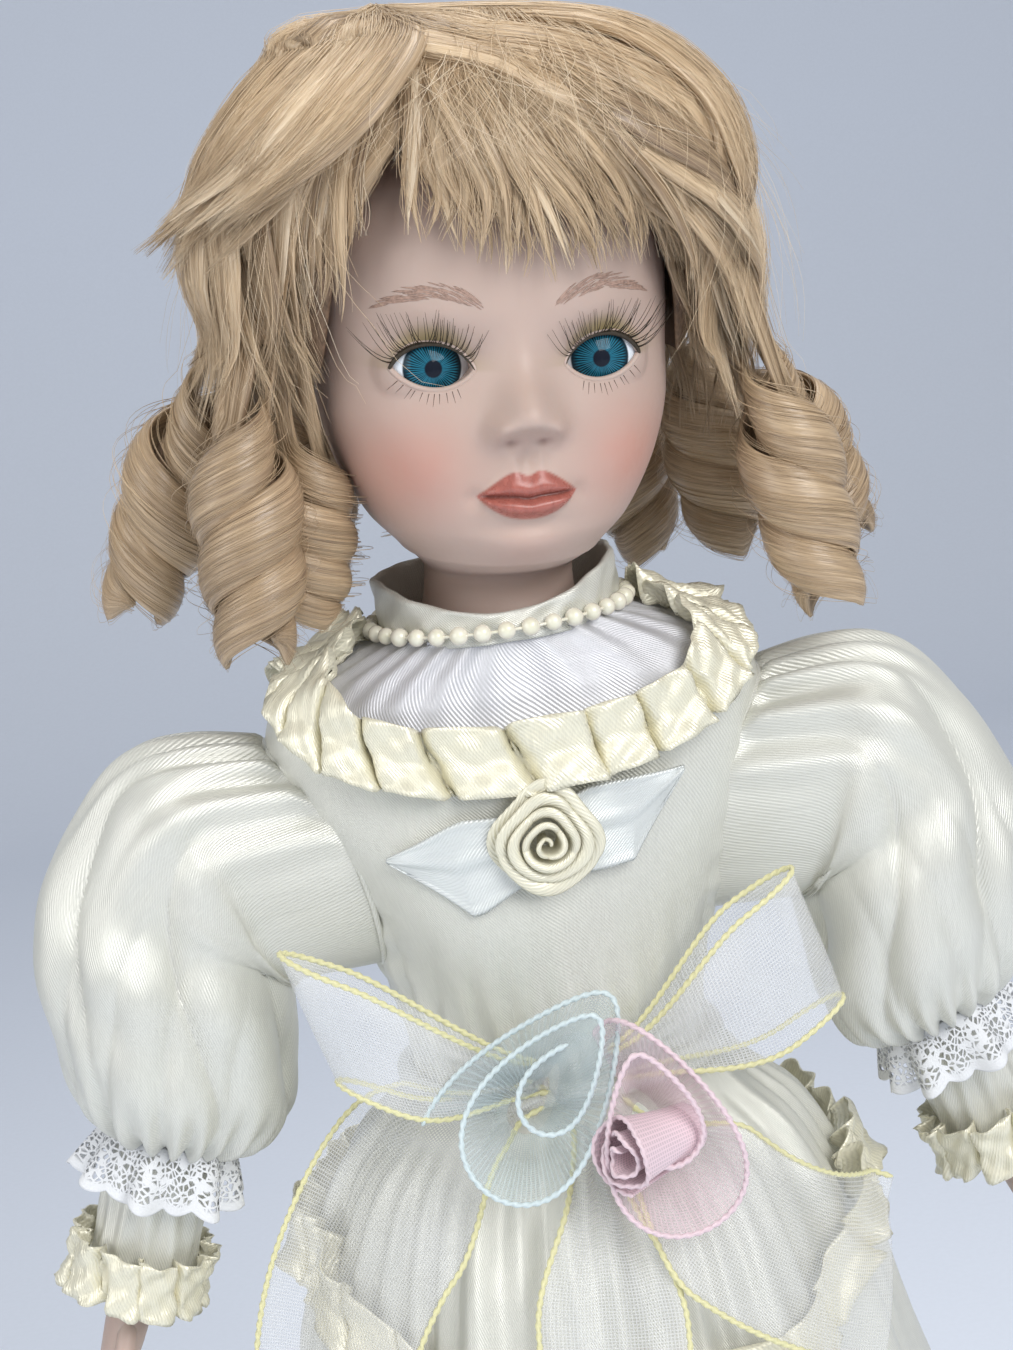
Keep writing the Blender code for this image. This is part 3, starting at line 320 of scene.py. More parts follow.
# Shaders
class Shader:
    """Short calls that build one material's nodes."""

    def __init__(self, name):
        self.material = bpy.data.materials.new(name)
        self.material.use_nodes = True
        self.tree = self.material.node_tree
        self.surface = self.tree.nodes["Principled BSDF"]

    def node(self, kind, settings=None, **inputs):
        made = self.tree.nodes.new(kind)
        for key, value in (settings or {}).items():
            setattr(made, key, value)
        for key, value in inputs.items():
            self.put(made.inputs[key.replace("_", " ")], value)
        return made

    def put(self, socket, value):
        if isinstance(value, bpy.types.NodeSocket):
            self.tree.links.new(value, socket)
        elif socket.type == "RGBA":
            socket.default_value = (*value, 1.0)
        else:
            socket.default_value = value

    def set(self, **inputs):
        for key, value in inputs.items():
            self.put(self.surface.inputs[key.replace("_", " ")], value)

    def math(self, operation, *values, clamp=False):
        made = self.node("ShaderNodeMath", {"operation": operation, "use_clamp": clamp})
        for socket, value in zip(made.inputs, values):
            self.put(socket, value)
        return made.outputs[0]

    def mix(self, factor, first, second):
        made = self.node("ShaderNodeMix", {"data_type": "RGBA"})
        self.put(made.inputs[0], factor)
        self.put(made.inputs[6], first)
        self.put(made.inputs[7], second)
        return made.outputs[2]

    def ramp(self, factor, *stops):
        made = self.node("ShaderNodeValToRGB", Fac=factor)
        elements = made.color_ramp.elements
        while len(elements) < len(stops):
            elements.new(0.5)
        for element, (place, colour) in zip(elements, stops):
            element.position = place
            element.color = (*colour, 1.0)
        return made.outputs[0]

    def span(self, value, low, high, first=0.0, last=1.0):
        made = self.node("ShaderNodeMapRange", {"interpolation_type": "SMOOTHSTEP"})
        for socket, part in zip(made.inputs, (value, low, high, first, last)):
            self.put(socket, part)
        return made.outputs[0]

    def attribute(self, name):
        return self.node("ShaderNodeAttribute", {"attribute_name": name}).outputs["Fac"]

    def object_place(self):
        return self.node("ShaderNodeTexCoord").outputs["Object"]

    def cloth_place(self):
        return self.node("ShaderNodeTexCoord").outputs["UV"]

    def stretch(self, place, scale):
        made = self.node("ShaderNodeMapping", Vector=place)
        made.inputs["Scale"].default_value = scale
        return made.outputs[0]

    def noise(self, place, scale, detail=3.0):
        return self.node("ShaderNodeTexNoise", Vector=place, Scale=scale, Detail=detail).outputs[0]

    def bump(self, height, strength, distance):
        made = self.node("ShaderNodeBump", Height=height, Strength=strength, Distance=distance)
        self.put(self.surface.inputs["Normal"], made.outputs[0])

    def waves(self, place, axis, pitch):
        """A sine from -1 to 1 along one axis of a texture place, once for each pitch."""
        part = self.node("ShaderNodeSeparateXYZ", Vector=place).outputs[axis]
        return self.math("SINE", self.math("MULTIPLY", part, 2 * math.pi / pitch))


def toned(colour, share):
    return tuple(c * share for c in colour)


def bisque_material(name, paint=False):
    """Matte tinted porcelain, with the painted face where the mesh carries its masks."""
    s = Shader(name)
    look = bpy.context.scene.doll_face
    place = s.object_place()
    cloud = s.noise(place, 60.0, 3.0)
    colour = s.mix(s.span(cloud, 0.3, 0.7), look.skin, toned(look.skin, 0.95))
    rough = s.span(s.noise(place, 900.0, 2.0), 0.2, 0.8, 0.46, 0.58)
    if paint:
        soft = s.span(s.noise(place, 260.0, 3.0), 0.2, 0.8, 0.82, 1.0)
        colour = s.mix(s.math("MULTIPLY", s.attribute("blush"), soft), colour, look.blush)
        colour = s.mix(s.math("MULTIPLY", s.attribute("shadow"), soft), colour, look.eye_shadow)
        lip_grain = s.span(s.noise(s.stretch(place, (1.0, 1.0, 0.15)), 900.0, 2.0), 0.3, 0.7)
        lip = s.mix(lip_grain, look.lips, toned(look.lips, 0.82))
        lips = s.attribute("lips")
        colour = s.mix(lips, colour, lip)
        # Darker lip colour along the crease mask: the painted lip line and nostril dots, deepened as painted
        # shade in these grooves
        colour = s.mix(s.attribute("crease"), colour, toned(look.lips, 0.45))
        rough = s.math("MULTIPLY_ADD", lips, -0.24, rough)
    s.set(Base_Color=colour, Roughness=rough, Subsurface_Weight=0.12, Subsurface_Scale=0.003)
    s.surface.inputs["Subsurface Radius"].default_value = (1.0, 0.45, 0.30)
    s.bump(s.noise(place, 2600.0, 2.0), 0.05, 0.0002)
    return s.material


IRIS_SPOKES = 54.0
RIM_TEAL = (0.004, 0.022, 0.035)
PUPIL_BLACK = (0.003, 0.006, 0.015)
# White of the eye beside the iris, and a greyer white further out that paints the shade of the lids towards
# the corners and fills the back
EYE_WHITE_AND_PAINTED_SHADE = ((0.78, 0.83, 0.88), (0.60, 0.66, 0.74))


def eye_material():
    """Teal iris with fine spokes, a dark rim and pupil, in a bluish white ball under a clear glaze."""
    s = Shader("painted_eye")
    look = bpy.context.scene.doll_face
    place = s.node("ShaderNodeAttribute", {"attribute_name": "eye_place"}).outputs["Vector"]
    parts = s.node("ShaderNodeSeparateXYZ", Vector=place)
    x, y = parts.outputs[0], parts.outputs[1]
    away = s.math("SQRT", s.math("ADD", s.math("MULTIPLY", x, x), s.math("MULTIPLY", y, y)))
    angle = s.math("ARCTAN2", y, x)
    spun = s.node(
        "ShaderNodeCombineXYZ",
        X=s.math("MULTIPLY", s.math("COSINE", angle), 9.0),
        Y=s.math("MULTIPLY", s.math("SINE", angle), 9.0),
        Z=s.math("MULTIPLY", away, 0.35),
    ).outputs[0]
    streak = s.noise(spun, 1.0, 3.0)
    spokes = s.math("MULTIPLY", s.math("SINE", s.math("MULTIPLY", angle, IRIS_SPOKES)), 0.5)
    lines = s.math("ADD", streak, s.math("MULTIPLY", spokes, 0.55))
    deep = toned(look.iris, 0.12)
    light = tuple(min(1.0, c * 1.7 + 0.01) for c in look.iris)
    teal = s.ramp(lines, (0.30, deep), (0.52, look.iris), (0.74, light))
    glow = s.span(away, 1.3, 3.0, 0.30, 0.0)
    teal = s.mix(glow, teal, light)
    teal = s.mix(s.span(away, 3.5, 4.5), teal, RIM_TEAL)
    teal = s.mix(s.span(away, 1.55, 1.25), teal, PUPIL_BLACK)
    # The white greys away from the iris: painted shade towards the corners of the eye
    white = s.mix(s.span(away, 4.6, 9.0), *EYE_WHITE_AND_PAINTED_SHADE)
    colour = s.mix(s.span(away, 4.55, 4.85), teal, white)
    s.set(Base_Color=colour, Roughness=0.60, Specular_IOR_Level=0.12)
    s.set(Coat_Weight=0.30, Coat_Roughness=0.03)
    s.bump(s.noise(spun, 2.0), 0.04, 0.0002)
    return s.material


def fibre_material(name, colour, variation=0.35):
    """Dull dyed fibre whose strands differ a little."""
    s = Shader(name)
    change = s.noise(s.object_place(), 1800.0, 1.0)
    dark = toned(colour, 1.0 - variation)
    s.set(Base_Color=s.mix(s.span(change, 0.3, 0.7), colour, dark), Roughness=0.55)
    return s.material


# Head
def head_matrix():
    place = Matrix.Translation(NECK_PIVOT)
    for angle, axis in ((HEAD_TILT, "Y"), (HEAD_TURN, "Z"), (HEAD_NOD, "X")):
        place = place @ Matrix.Rotation(angle, 4, axis)
    return place


def to_head(points):
    """Head points in millimetres from the neck pivot, placed in the doll in metres."""
    place = np.array(head_matrix())
    return np.asarray(points, float) * MM @ place[:3, :3].T + place[:3, 3]


def turn_with_head(vectors):
    return np.asarray(vectors, float) @ np.array(head_matrix())[:3, :3].T


def lid_lines(u):
    """Heights of the upper and lower lid edges over the middle of an eye, outer corner at positive u."""
    share = np.clip(np.abs(u - 0.2) / EYE_HALF, 0.0, 1.0)
    upper = 4.3 * (1 - share**2.2) ** 0.72
    lower = -3.3 * (1 - share**2.0) ** 0.80
    return upper + 0.05 * u, lower + 0.05 * u


def eye_front():
    """Y of the middle of each eyeball in head millimetres."""
    half, front, _ = through(HEAD_SECTIONS, EYE_Z)
    share = (1 - (EYE_X / half) ** HEAD_SQUARENESS) ** (1 / HEAD_SQUARENESS)
    return -front * share + EYE_RADIUS / MM + 0.8


def lip_lines(x):
    """Heights of the upper edge, the line between the lips and the lower edge."""
    share = np.clip(np.abs(x) / MOUTH_HALF, 0.0, 1.0)
    line = MOUTH_Z + 0.1 - 0.35 * bump(x, 0, 1.7) + 0.3 * share**2
    upper = MOUTH_Z + 0.3 + 4.5 * (1 - share**1.6) - 1.35 * bump(x, 0, 1.5)
    lower = MOUTH_Z + 0.3 - 3.9 * (1 - share**2.3)
    return upper, line, lower


def plain_head(angle, z):
    """Points of the head without its face, in millimetres."""
    half, front, back = through(HEAD_SECTIONS, z)
    exponent = 2.0 / HEAD_SQUARENESS
    depth = np.where(np.sin(angle) < 0, front, back)
    return np.stack([half * power(np.cos(angle), exponent), depth * power(np.sin(angle), exponent), z], -1)


def face_relief(x, z):
    """How far the face stands out from the plain head, in millimetres."""
    side = np.abs(x)
    bridge = 2.3 * bump(x, 0, 3.8) * smooth(38, 45, z) * (1 - smooth(45, 57, z))
    tip_height = np.where(z < NOSE_TIP_Z, 2.9, 5.0)
    tip = 6.9 * np.exp(-(np.abs(x / 4.6) ** 2.4) - ((z - NOSE_TIP_Z) / tip_height) ** 2)
    groove = -0.55 * spot(x, z, 0, 1.2, 33.6, 1.7) + 0.3 * spot(side, z, 2.2, 0.9, 33.2, 1.7)
    upper, line, lower = lip_lines(x)
    inside = 1 - smooth(0.80, 1.0, side / MOUTH_HALF)
    top = np.clip((z - line) / np.maximum(upper - line, 0.1), -0.5, 1.5)
    low = np.clip((line - z) / np.maximum(line - lower, 0.1), -0.5, 1.5)
    lips = np.where(z > line, 1.35 * bump(top, 0.42, 0.5), 1.65 * bump(low, 0.48, 0.5))
    lips = lips - 1.1 * bump(z, line, 0.5)
    forms = sum(rise * spot(side, z, *place) for rise, *place in FACE_FORMS.values())
    return bridge + tip + groove + lips * inside + forms


def eye_depth_inside(x, z):
    """Distance inside the edge of the eye openings, in millimetres, negative outside."""
    u = np.abs(x) - EYE_X
    upper, lower = lid_lines(u)
    inside = np.minimum(upper - (z - EYE_Z), (z - EYE_Z) - lower)
    return np.where(np.abs(u - 0.2) < EYE_HALF, inside, -1.0)


def head_points(angle, z):
    """Points of the head in millimetres, front at -Y, for equal arrays of angle and height."""
    x, y, _ = np.moveaxis(plain_head(angle, z), -1, 0)
    facing = np.sin(angle) < 0
    y = y - face_relief(x, z) * smooth(0.12, 0.5, -np.sin(angle))
    # Lids swell over the eyeballs, and the openings go in behind their edges
    ball = EYE_RADIUS / MM + LID_GAP
    flat = (np.abs(x) - EYE_X) ** 2 + (z - EYE_Z) ** 2
    dome = eye_front() - np.sqrt(np.maximum(ball**2 - flat, 0.0))
    gain = np.where(flat < ball**2, y - dome, -1.0)
    swell = 0.5 * (gain + np.sqrt(gain**2 + 0.25)) * (flat < ball**2) * facing
    y = y - swell * smooth(ball**2, ball**2 * 0.7, flat)
    y = y + EYE_HOLE_DEPTH * smooth(-0.1, 0.3, eye_depth_inside(x, z)) * facing
    return np.stack([x, y, z], -1)


def front_point(x, z, lift):
    """Points on the front of the face at given sideways place and height, a little off the surface."""
    x, z = np.broadcast_arrays(np.asarray(x, float), np.asarray(z, float))
    half = through(HEAD_SECTIONS, z)[0]
    share = np.clip(np.abs(x) / half, 0.0, 0.999)
    angle = -np.arccos(share ** (HEAD_SQUARENESS / 2))
    angle = np.where(x < 0, -math.pi - angle, angle)
    points = head_points(angle, z)
    points[..., 1] -= EYE_HOLE_DEPTH * smooth(-0.1, 0.3, eye_depth_inside(points[..., 0], z))
    outward = np.stack([np.cos(angle) * 0.9, np.sin(angle), np.zeros_like(x)], -1)
    return points + unit(outward) * lift


# Neck: radius and height over the pivot in millimetres
NECK_SECTIONS = ((8.0, -11.6), (11.0, -9.0), (13.5, -4.0), (14.2, 0.0), (13.7, 3.5), (13.0, 6.5), (12.7, 9.5))


def make_head():
    """Neck and head in one mesh, with the places of the face paint, and of the painted shade in the lip line
    and nostrils, marked on it.
    """
    even = turn(330)
    angles = even - np.pi / 2 - 0.62 * np.sin(even)
    # Rows lie closest round the eyes
    spans = ((11.5, 42.0, 96), (42.25, 54.0, 46), (54.5, 84.0, 46))
    rows = np.concatenate([*(np.linspace(*span) for span in spans), [86.5, 88.5, 90.0]])
    head = head_points(*np.meshgrid(angles, rows))
    neck = [
        np.stack([radius * np.cos(angles), radius * np.sin(angles), np.full(len(angles), z)], -1)
        for radius, z in NECK_SECTIONS
    ]
    points = np.concatenate([np.array(neck), head])
    mesh = grid_mesh("bisque_head", to_head(points), ring=True)
    x, y, z = np.moveaxis(points, -1, 0)
    side = np.abs(x)
    face = (y < -8.0).astype(float)
    upper, line, lower = lip_lines(x)
    inside = 1 - smooth(0.985, 1.02, side / MOUTH_HALF)
    lips = smooth(-0.25, 0.2, upper - z) * smooth(-0.25, 0.2, z - lower) * inside
    # Crease mask: a dark line between the lips and dots in the nostrils, the painted lip line deepened as
    # painted shade in these grooves
    crease = bump(z, line, 0.22) * (1 - smooth(0.75, 1.0, side / MOUTH_HALF)) * 0.8
    crease = np.maximum(crease, 0.40 * spot(side, z, 2.5, 1.0, 36.2, 0.6))
    blush = 0.75 * spot(side, z, 18.0, 8.5, 32.0, 8.0) + 0.18 * spot(x, z, 0.0, 6.0, 18.0, 4.0)
    u = side - EYE_X
    over = (z - EYE_Z) - lid_lines(u)[0]
    shadow = 0.85 * smooth(-0.6, 0.2, over) * (1 - smooth(0.6, 3.8, over)) * bump(u, 0.6, 6.6)
    for name, values in (("lips", lips), ("crease", crease), ("blush", blush), ("shadow", shadow)):
        set_attribute(mesh, name, values * face)
    return add_piece("bisque_head", mesh, "head", bisque_material("painted_bisque", True), ["head"])


def make_eyes():
    material = eye_material()
    skin = bisque_material("lid_bisque")
    dark = fibre_material("lash_fibre", bpy.context.scene.doll_face.lash)
    shape, polar, _ = ball(49, 64)
    # The ball's lowest point turns to the front
    local = shape[..., [0, 2, 1]] * (EYE_RADIUS / MM)
    local[..., 1] -= 0.35 * bump(polar, 0.0, 0.42)
    # The back of the ball counts as far from the iris
    behind = np.where(local[..., 1] > 0, 30.0, 1.0)
    flat = np.stack([local[..., 0] * behind, local[..., 2] * behind, local[..., 1]], -1)
    for side, sign in SIDES:
        centre = np.array([sign * EYE_X, eye_front(), EYE_Z])
        mesh = grid_mesh(side + "_glass_eye", to_head(local + centre), ring=True)
        attribute = mesh.attributes.new("eye_place", "FLOAT_VECTOR", "POINT")
        attribute.data.foreach_set("vector", flat.astype(np.float32).ravel())
        add_piece(side + "_glass_eye", mesh, "head", material, [side + "_eye"])
        make_lids(side, sign, skin, dark)
        make_lashes(side, sign, dark)


def lid_path(sign, u, v, lift):
    return front_point(sign * (EYE_X + u), EYE_Z + v, lift)


def make_lids(side, sign, skin, dark):
    """A rounded rim all round the opening and a dark line along the upper lid."""
    u = 0.2 - 6.45 * np.cos(np.linspace(0.0, np.pi, 40))
    upper, lower = lid_lines(u)
    around = np.concatenate([np.stack([u, upper], -1), np.stack([u, lower], -1)[::-1][1:-1]])
    path = to_head(lid_path(sign, around[:, 0], around[:, 1], -0.32))
    add_tube(side + "_lid_rim", path, 0.46 * MM, 10, "head", skin, (0.0, 1.0, 0.0))
    path = to_head(lid_path(sign, u, upper - 0.35, 0.02))
    taper = np.sin(np.linspace(0.12, np.pi - 0.12, len(u))) ** 0.4
    radius = (0.26 + 0.24 * smooth(-6.0, 6.0, u)) * taper * MM
    add_tube(side + "_lash_line", path, radius, 8, "head", dark, (0.0, 1.0, 0.0), closed=False)


def add_strokes(name, curve, width, outward, flatness, material, nodes=()):
    """Hairs or painted strokes on the face, all lying under the same way out."""
    width = np.broadcast_to(width, curve.shape[:2]) * MM
    outward = turn_with_head(np.broadcast_to(np.array(outward), curve.shape))
    mesh = strand_mesh(name, to_head(curve), width, outward, flatness)
    return add_piece(name, mesh, "head", material, nodes)


def make_lashes(side, sign, dark):
    """Upper lashes that stand out and fan up, and short painted strokes under the eye."""
    rng = np.random.default_rng(31)
    count = 46
    u = np.linspace(-5.6, 6.4, count) + rng.normal(0, 0.12, count)
    root = lid_path(sign, u, lid_lines(u)[0] - 0.2, 0.05)
    fan = sign * (0.10 + 0.80 * u / 6.0) + rng.normal(0, 0.20, count)
    length = ((4.4 + 2.0 * smooth(-4.0, 5.0, u)) * rng.uniform(0.80, 1.12, count))[:, None]
    t = shares(9)[None, :]
    out = np.sin(t * 1.25) * length * 0.62
    rise = (1 - np.cos(t * 1.55)) * length * 0.82 + t * length * 0.10
    curve = root[:, None] + np.stack([t * length * fan[:, None], -out, rise], -1)
    width = 0.17 * (1 - 0.75 * t)
    add_strokes(side + "_lashes", curve, width, (0.0, -1.0, 0.4), 0.8, dark, [side + "_lash"])
    count = 11
    u = np.linspace(-3.4, 5.4, count) + rng.normal(0, 0.1, count)
    start = lid_lines(u)[1] - 0.55
    length = rng.uniform(1.0, 2.0, count)[:, None]
    t = shares(6)[None, :]
    x = sign * (EYE_X + u[:, None] + (0.12 + 0.09 * u)[:, None] * t * length * 1.6)
    curve = front_point(x, EYE_Z + start[:, None] - t * length, 0.03)
    width = 0.11 * (1 - 0.75 * t)
    add_strokes(side + "_lower_lashes", curve, width, (0.0, -1.0, 0.0), 0.2, dark)


def make_brows():
    """Fine painted strokes that rise from the nose, arch and fall away."""
    rng = np.random.default_rng(8)
    paint = fibre_material("brow_paint", bpy.context.scene.doll_face.brow, 0.25)
    for side, sign in SIDES:
        count = 96
        share = np.clip(shares(count) + rng.normal(0, 0.012, count), 0, 1)
        x = 6.6 + 14.6 * share
        z = 57.0 + 3.0 * np.sin(np.pi * (0.14 + 0.80 * share)) + 0.5 * share
        thick = 2.3 * np.sin(np.pi * np.clip(0.12 + 0.86 * share, 0, 1)) ** 0.7
        z = z + rng.uniform(-0.5, 0.5, count) * thick
        slope = 0.75 - 1.05 * share
        length = rng.uniform(1.8, 3.4, count)
        t = np.linspace(-0.5, 0.5, 6)[None, :]
        x = x[:, None] + t * (length * np.cos(slope))[:, None]
        z = z[:, None] + t * (length * np.sin(slope))[:, None]
        curve = front_point(sign * x, z, 0.02)
        width = 0.22 * (1 - (2 * t) ** 4 * 0.8)
        add_strokes(side + "_brow", curve, width, (0.0, -1.0, 0.0), 0.12, paint)


# Wig, in head millimetres
HEAD_TOP = 90.0
# Where the hair parts: shift from the top of the head
PARTING = (-17.0, -8.0, -3.0)


def over_head(angle, z, distance):
    """Points a distance outside the plain head, and the way out from it, in head millimetres."""
    angle, z, distance = np.broadcast_arrays(angle, z, distance)
    around = plain_head(angle + 0.02, z) - plain_head(angle - 0.02, z)
    above = np.minimum(z + 0.5, HEAD_TOP)
    rise = plain_head(angle, above) - plain_head(angle, above - 1.0)
    out = unit(np.cross(around, rise))
    return plain_head(angle, z) + out * distance[..., None], out


def hair_edge(angle):
    """Height of the lower edge of the crown of hair."""
    return 43.0 + 28.5 * smooth(0.30, 0.70, -np.sin(angle))


def spread_lock(rng, guides, out, strands, wide, deep, frizz):
    """Strands side by side about each guide path: a lock with a rounded top that narrows to its tip."""
    count, points, _ = guides.shape
    t = shares(points)
    side = unit(np.cross(np.gradient(guides, axis=1), out))
    shape = (count, strands, 1)
    place = rng.uniform(-1.0, 1.0, shape)
    profile = (0.80 + 0.30 * np.sin(np.pi * t)) * (1 - 0.62 * smooth(0.50, 1.0, t))
    loose = frizz * (0.35 + 1.6 * rng.uniform(0, 1, shape) ** 5)
    curl = np.sin(2 * np.pi * rng.uniform(0.6, 1.8, shape) * t + rng.uniform(0, ROUND, shape)) * loose * t
    across = wide * place * profile + curl
    lift = deep * (1 - place**2 + rng.normal(0, 0.22, shape)) * profile + 0.5 * np.roll(curl, 1, 1)
    paths = guides[:, None] + side[:, None] * across[..., None] + out[:, None] * lift[..., None]
    return paths.reshape(-1, points, 3), np.repeat(out, strands, 0)


def trimmed(rng, paths, most):
    """The same strands with each cut back by its own share, so that a lock ends in wisps."""
    count, points, _ = paths.shape
    t = shares(points)
    keep = 1 - most * rng.uniform(0.0, 1.0, (count, 1)) ** 1.6
    at = t[None] * keep * (points - 1)
    low = np.minimum(at.astype(int), points - 2)
    part = (at - low)[..., None]
    row = np.arange(count)[:, None]
    return paths[row, low] * (1 - part) + paths[row, low + 1] * part


def add_hair(name, paths, out, width, tone, material, nodes=()):
    """A piece of many strands, each with its own tone of gold."""
    count, points, _ = paths.shape
    t = shares(points)
    widths = width * MM * (1 - 0.65 * t**3) * np.ones((count, 1))
    mesh = strand_mesh(name, to_head(paths), widths, turn_with_head(out), 0.45)
    set_attribute(mesh, "tone", np.repeat(tone, points * 3))
    return add_piece(name, mesh, "head", material, nodes)


def lock_path(stops, points):
    """A smooth path through stops of angle in degrees, height and distance from the middle of the head."""
    stops = np.array(stops, float)
    turned = np.radians(stops[:, 0])
    place = np.stack([stops[:, 2] * np.cos(turned), stops[:, 2] * np.sin(turned), stops[:, 1]], -1)
    place = np.concatenate([2 * place[:1] - place[1:2], place, 2 * place[-1:] - place[-2:-1]])
    at = np.linspace(0.0, len(stops) - 1.0001, points)
    k = at.astype(int)
    path = between(*(place[k + step] for step in range(4)), (at % 1.0)[:, None])
    return path, unit(path - np.array([0.0, 0.0, EYE_Z]))


def hair_colour(s, shade):
    look = bpy.context.scene.doll_wig
    return s.ramp(shade, (0.10, look.dark), (0.48, look.gold), (0.90, look.light))


def hair_material():
    """Separate strands of hair, each of its own tone."""
    s = Shader("gold_wig_fibre")
    cloud = s.noise(s.object_place(), 120.0, 3.0)
    shade = s.math("ADD", s.math("MULTIPLY", s.attribute("tone"), 0.75), s.math("MULTIPLY", cloud, 0.25))
    s.set(Base_Color=hair_colour(s, shade), Roughness=0.32, Specular_IOR_Level=0.55)
    return s.material


def lock_material():
    """Smooth locks of hair, with fibres drawn along them by colour and bump."""
    s = Shader("gold_wig_lock")
    along = s.math("MULTIPLY", s.attribute("along"), 0.03)
    place = s.node("ShaderNodeCombineXYZ", X=s.attribute("across"), Y=along).outputs[0]
    fine, broad = s.noise(place, 6.0, 2.0), s.noise(place, 1.5, 2.0)
    fibres = s.math("ADD", s.math("MULTIPLY", fine, 0.45), s.math("MULTIPLY", broad, 0.55))
    shade = s.math("ADD", s.attribute("tone"), s.math("MULTIPLY_ADD", fibres, 0.9, -0.45))
    s.set(Base_Color=hair_colour(s, shade), Roughness=0.30, Specular_IOR_Level=0.6)
    s.bump(fibres, 0.7, 0.0003)
    return s.material


def add_bodies(name, rows, across, along, tone, material, nodes=()):
    """A piece of closed bodies, given as count x stations x sides, with the marks for the lock shader."""
    count, stations, sides, _ = rows.shape
    face, place = grid_faces(stations, sides, ring=True)
    start = (np.arange(count) * stations * sides)[:, None, None]
    faces = (face[None] + start).reshape(-1, 4)
    mesh = build_mesh(name, to_head(rows.reshape(-1, 3)), faces, np.tile(place * MM, (count, 1, 1)))
    for mark, values in (("across", across), ("along", along), ("tone", tone)):
        set_attribute(mesh, mark, np.broadcast_to(values, rows.shape[:3]))
    return add_piece(name, mesh, "head", material, nodes)


def add_locks(name, guides, out, wide, deep, tone, material, nodes=()):
    """Locks about guide paths: a rounded top, a flatter underside and a drawn-out tip."""
    count, stations, _ = guides.shape
    t = shares(stations)
    around = turn(14)[::-1]
    side = unit(np.cross(np.gradient(guides, axis=1), out))
    profile = (0.80 + 0.30 * np.sin(np.pi * t)) * (1 - 0.97 * smooth(0.45, 1.02, t) ** 1.3)
    profile = profile * (0.1 + 0.9 * smooth(0.0, 0.08, t))
    width = wide * profile[:, None] * np.cos(around)
    lift = deep * profile[:, None] * np.where(np.sin(around) > 0, 1.0, 0.5) * np.sin(around)
    rows = guides[:, :, None] + side[:, :, None] * width[..., None] + out[:, :, None] * lift[..., None]
    across = wide * np.cos(around)[None, None] + 37.0 * np.arange(count)[:, None, None]
    along = line_length(guides, 1)[:, None, None] * t[None, :, None]
    add_bodies(name, rows, across, along, np.asarray(tone)[:, None, None], material, nodes)


def dress_locks(rng, name, guides, out, wide, deep, frizz, strands, material, smooth_hair, nodes=()):
    """Smooth locks with a scatter of separate strands over them."""
    tone = rng.normal(0.42, 0.13, len(guides))
    add_locks(name, guides, out, wide, deep, tone, smooth_hair, nodes)
    paths, lift = spread_lock(rng, guides, out, strands, wide * 1.12, deep * 1.12, frizz)
    tone = np.repeat(tone + 0.03, strands) + rng.normal(0, 0.07, len(paths))
    add_hair(name + "_strands", trimmed(rng, paths, 0.25), lift, 0.135, tone, material)


def crown_lock(rng, start, layer, depth, t):
    """Guide path of one lock from the parting to the edge of the crown, and the ways out from the head."""
    front = float(smooth(0.10, 0.75, -np.sin(start)))
    if math.cos(start) > -0.30:
        end = start + front * ((math.radians(-14.0) + 2 * np.pi - start) % (2 * np.pi)) * 0.92
    else:
        end = start + front * (math.radians(190.0) - start % (2 * np.pi)) * 0.92
    end += rng.normal(0.0, 0.10)
    edge = hair_edge(end) - 4.0 * (1 - front) + rng.uniform(-6.0, 6.0) * (1 - 0.5 * front) + 3.0 * front
    z = HEAD_TOP - (HEAD_TOP - edge) * t**1.8
    phase = 2.2 * math.sin(2 * start) + 1.1 * layer + rng.normal(0.0, 0.45)
    wave = ROUND * (1.9 + rng.normal(0.0, 0.15)) * t + phase
    angle = start + (end - start) * smooth(0.05, 0.95, t) + 0.14 * np.sin(wave) * t
    thick = (15.0 - 2.2 * t) * depth + rng.normal(0, 0.5) - 3.0 * front * t**2
    thick = thick + 2.7 * np.sin(wave + 1.5) * t + rng.uniform(-1.0, 5.5) * t**4
    guide, out = over_head(angle, z, np.maximum(thick, 2.6))
    guide[:, :2] *= smooth(-0.05, 0.16, t)[:, None]
    guide += np.array(PARTING) * (1 - smooth(0.0, 0.50, t))[:, None]
    return guide, out


def make_crown(material, smooth_hair):
    """Locks that leave the parting, follow the head in soft waves and fall to the curls."""
    rng = np.random.default_rng(5)
    t = shares(20)
    sectors = {name: [] for name in ("right_front", "left_front", "left", "left_back", "right_back", "right")}
    count = 42
    for layer, depth in enumerate((0.45, 0.66, 0.82, 0.95)):
        for k in range(count):
            start = 2 * np.pi * (k + 0.5 * (layer % 2) + rng.uniform(-0.3, 0.3)) / count - np.pi / 2
            sector = list(sectors)[int(((start + np.pi * 0.75) % (2 * np.pi)) // (np.pi / 3))]
            sectors[sector].append(crown_lock(rng, start, layer, depth, t))
    for name, locks in sectors.items():
        guides, out = (np.array(part) for part in zip(*locks))
        nodes = ["hair_crown"] if name == "left_back" else []
        dress_locks(rng, "wig_crown_" + name, guides, out, 4.2, 1.7, 1.7, 48, material, smooth_hair, nodes)


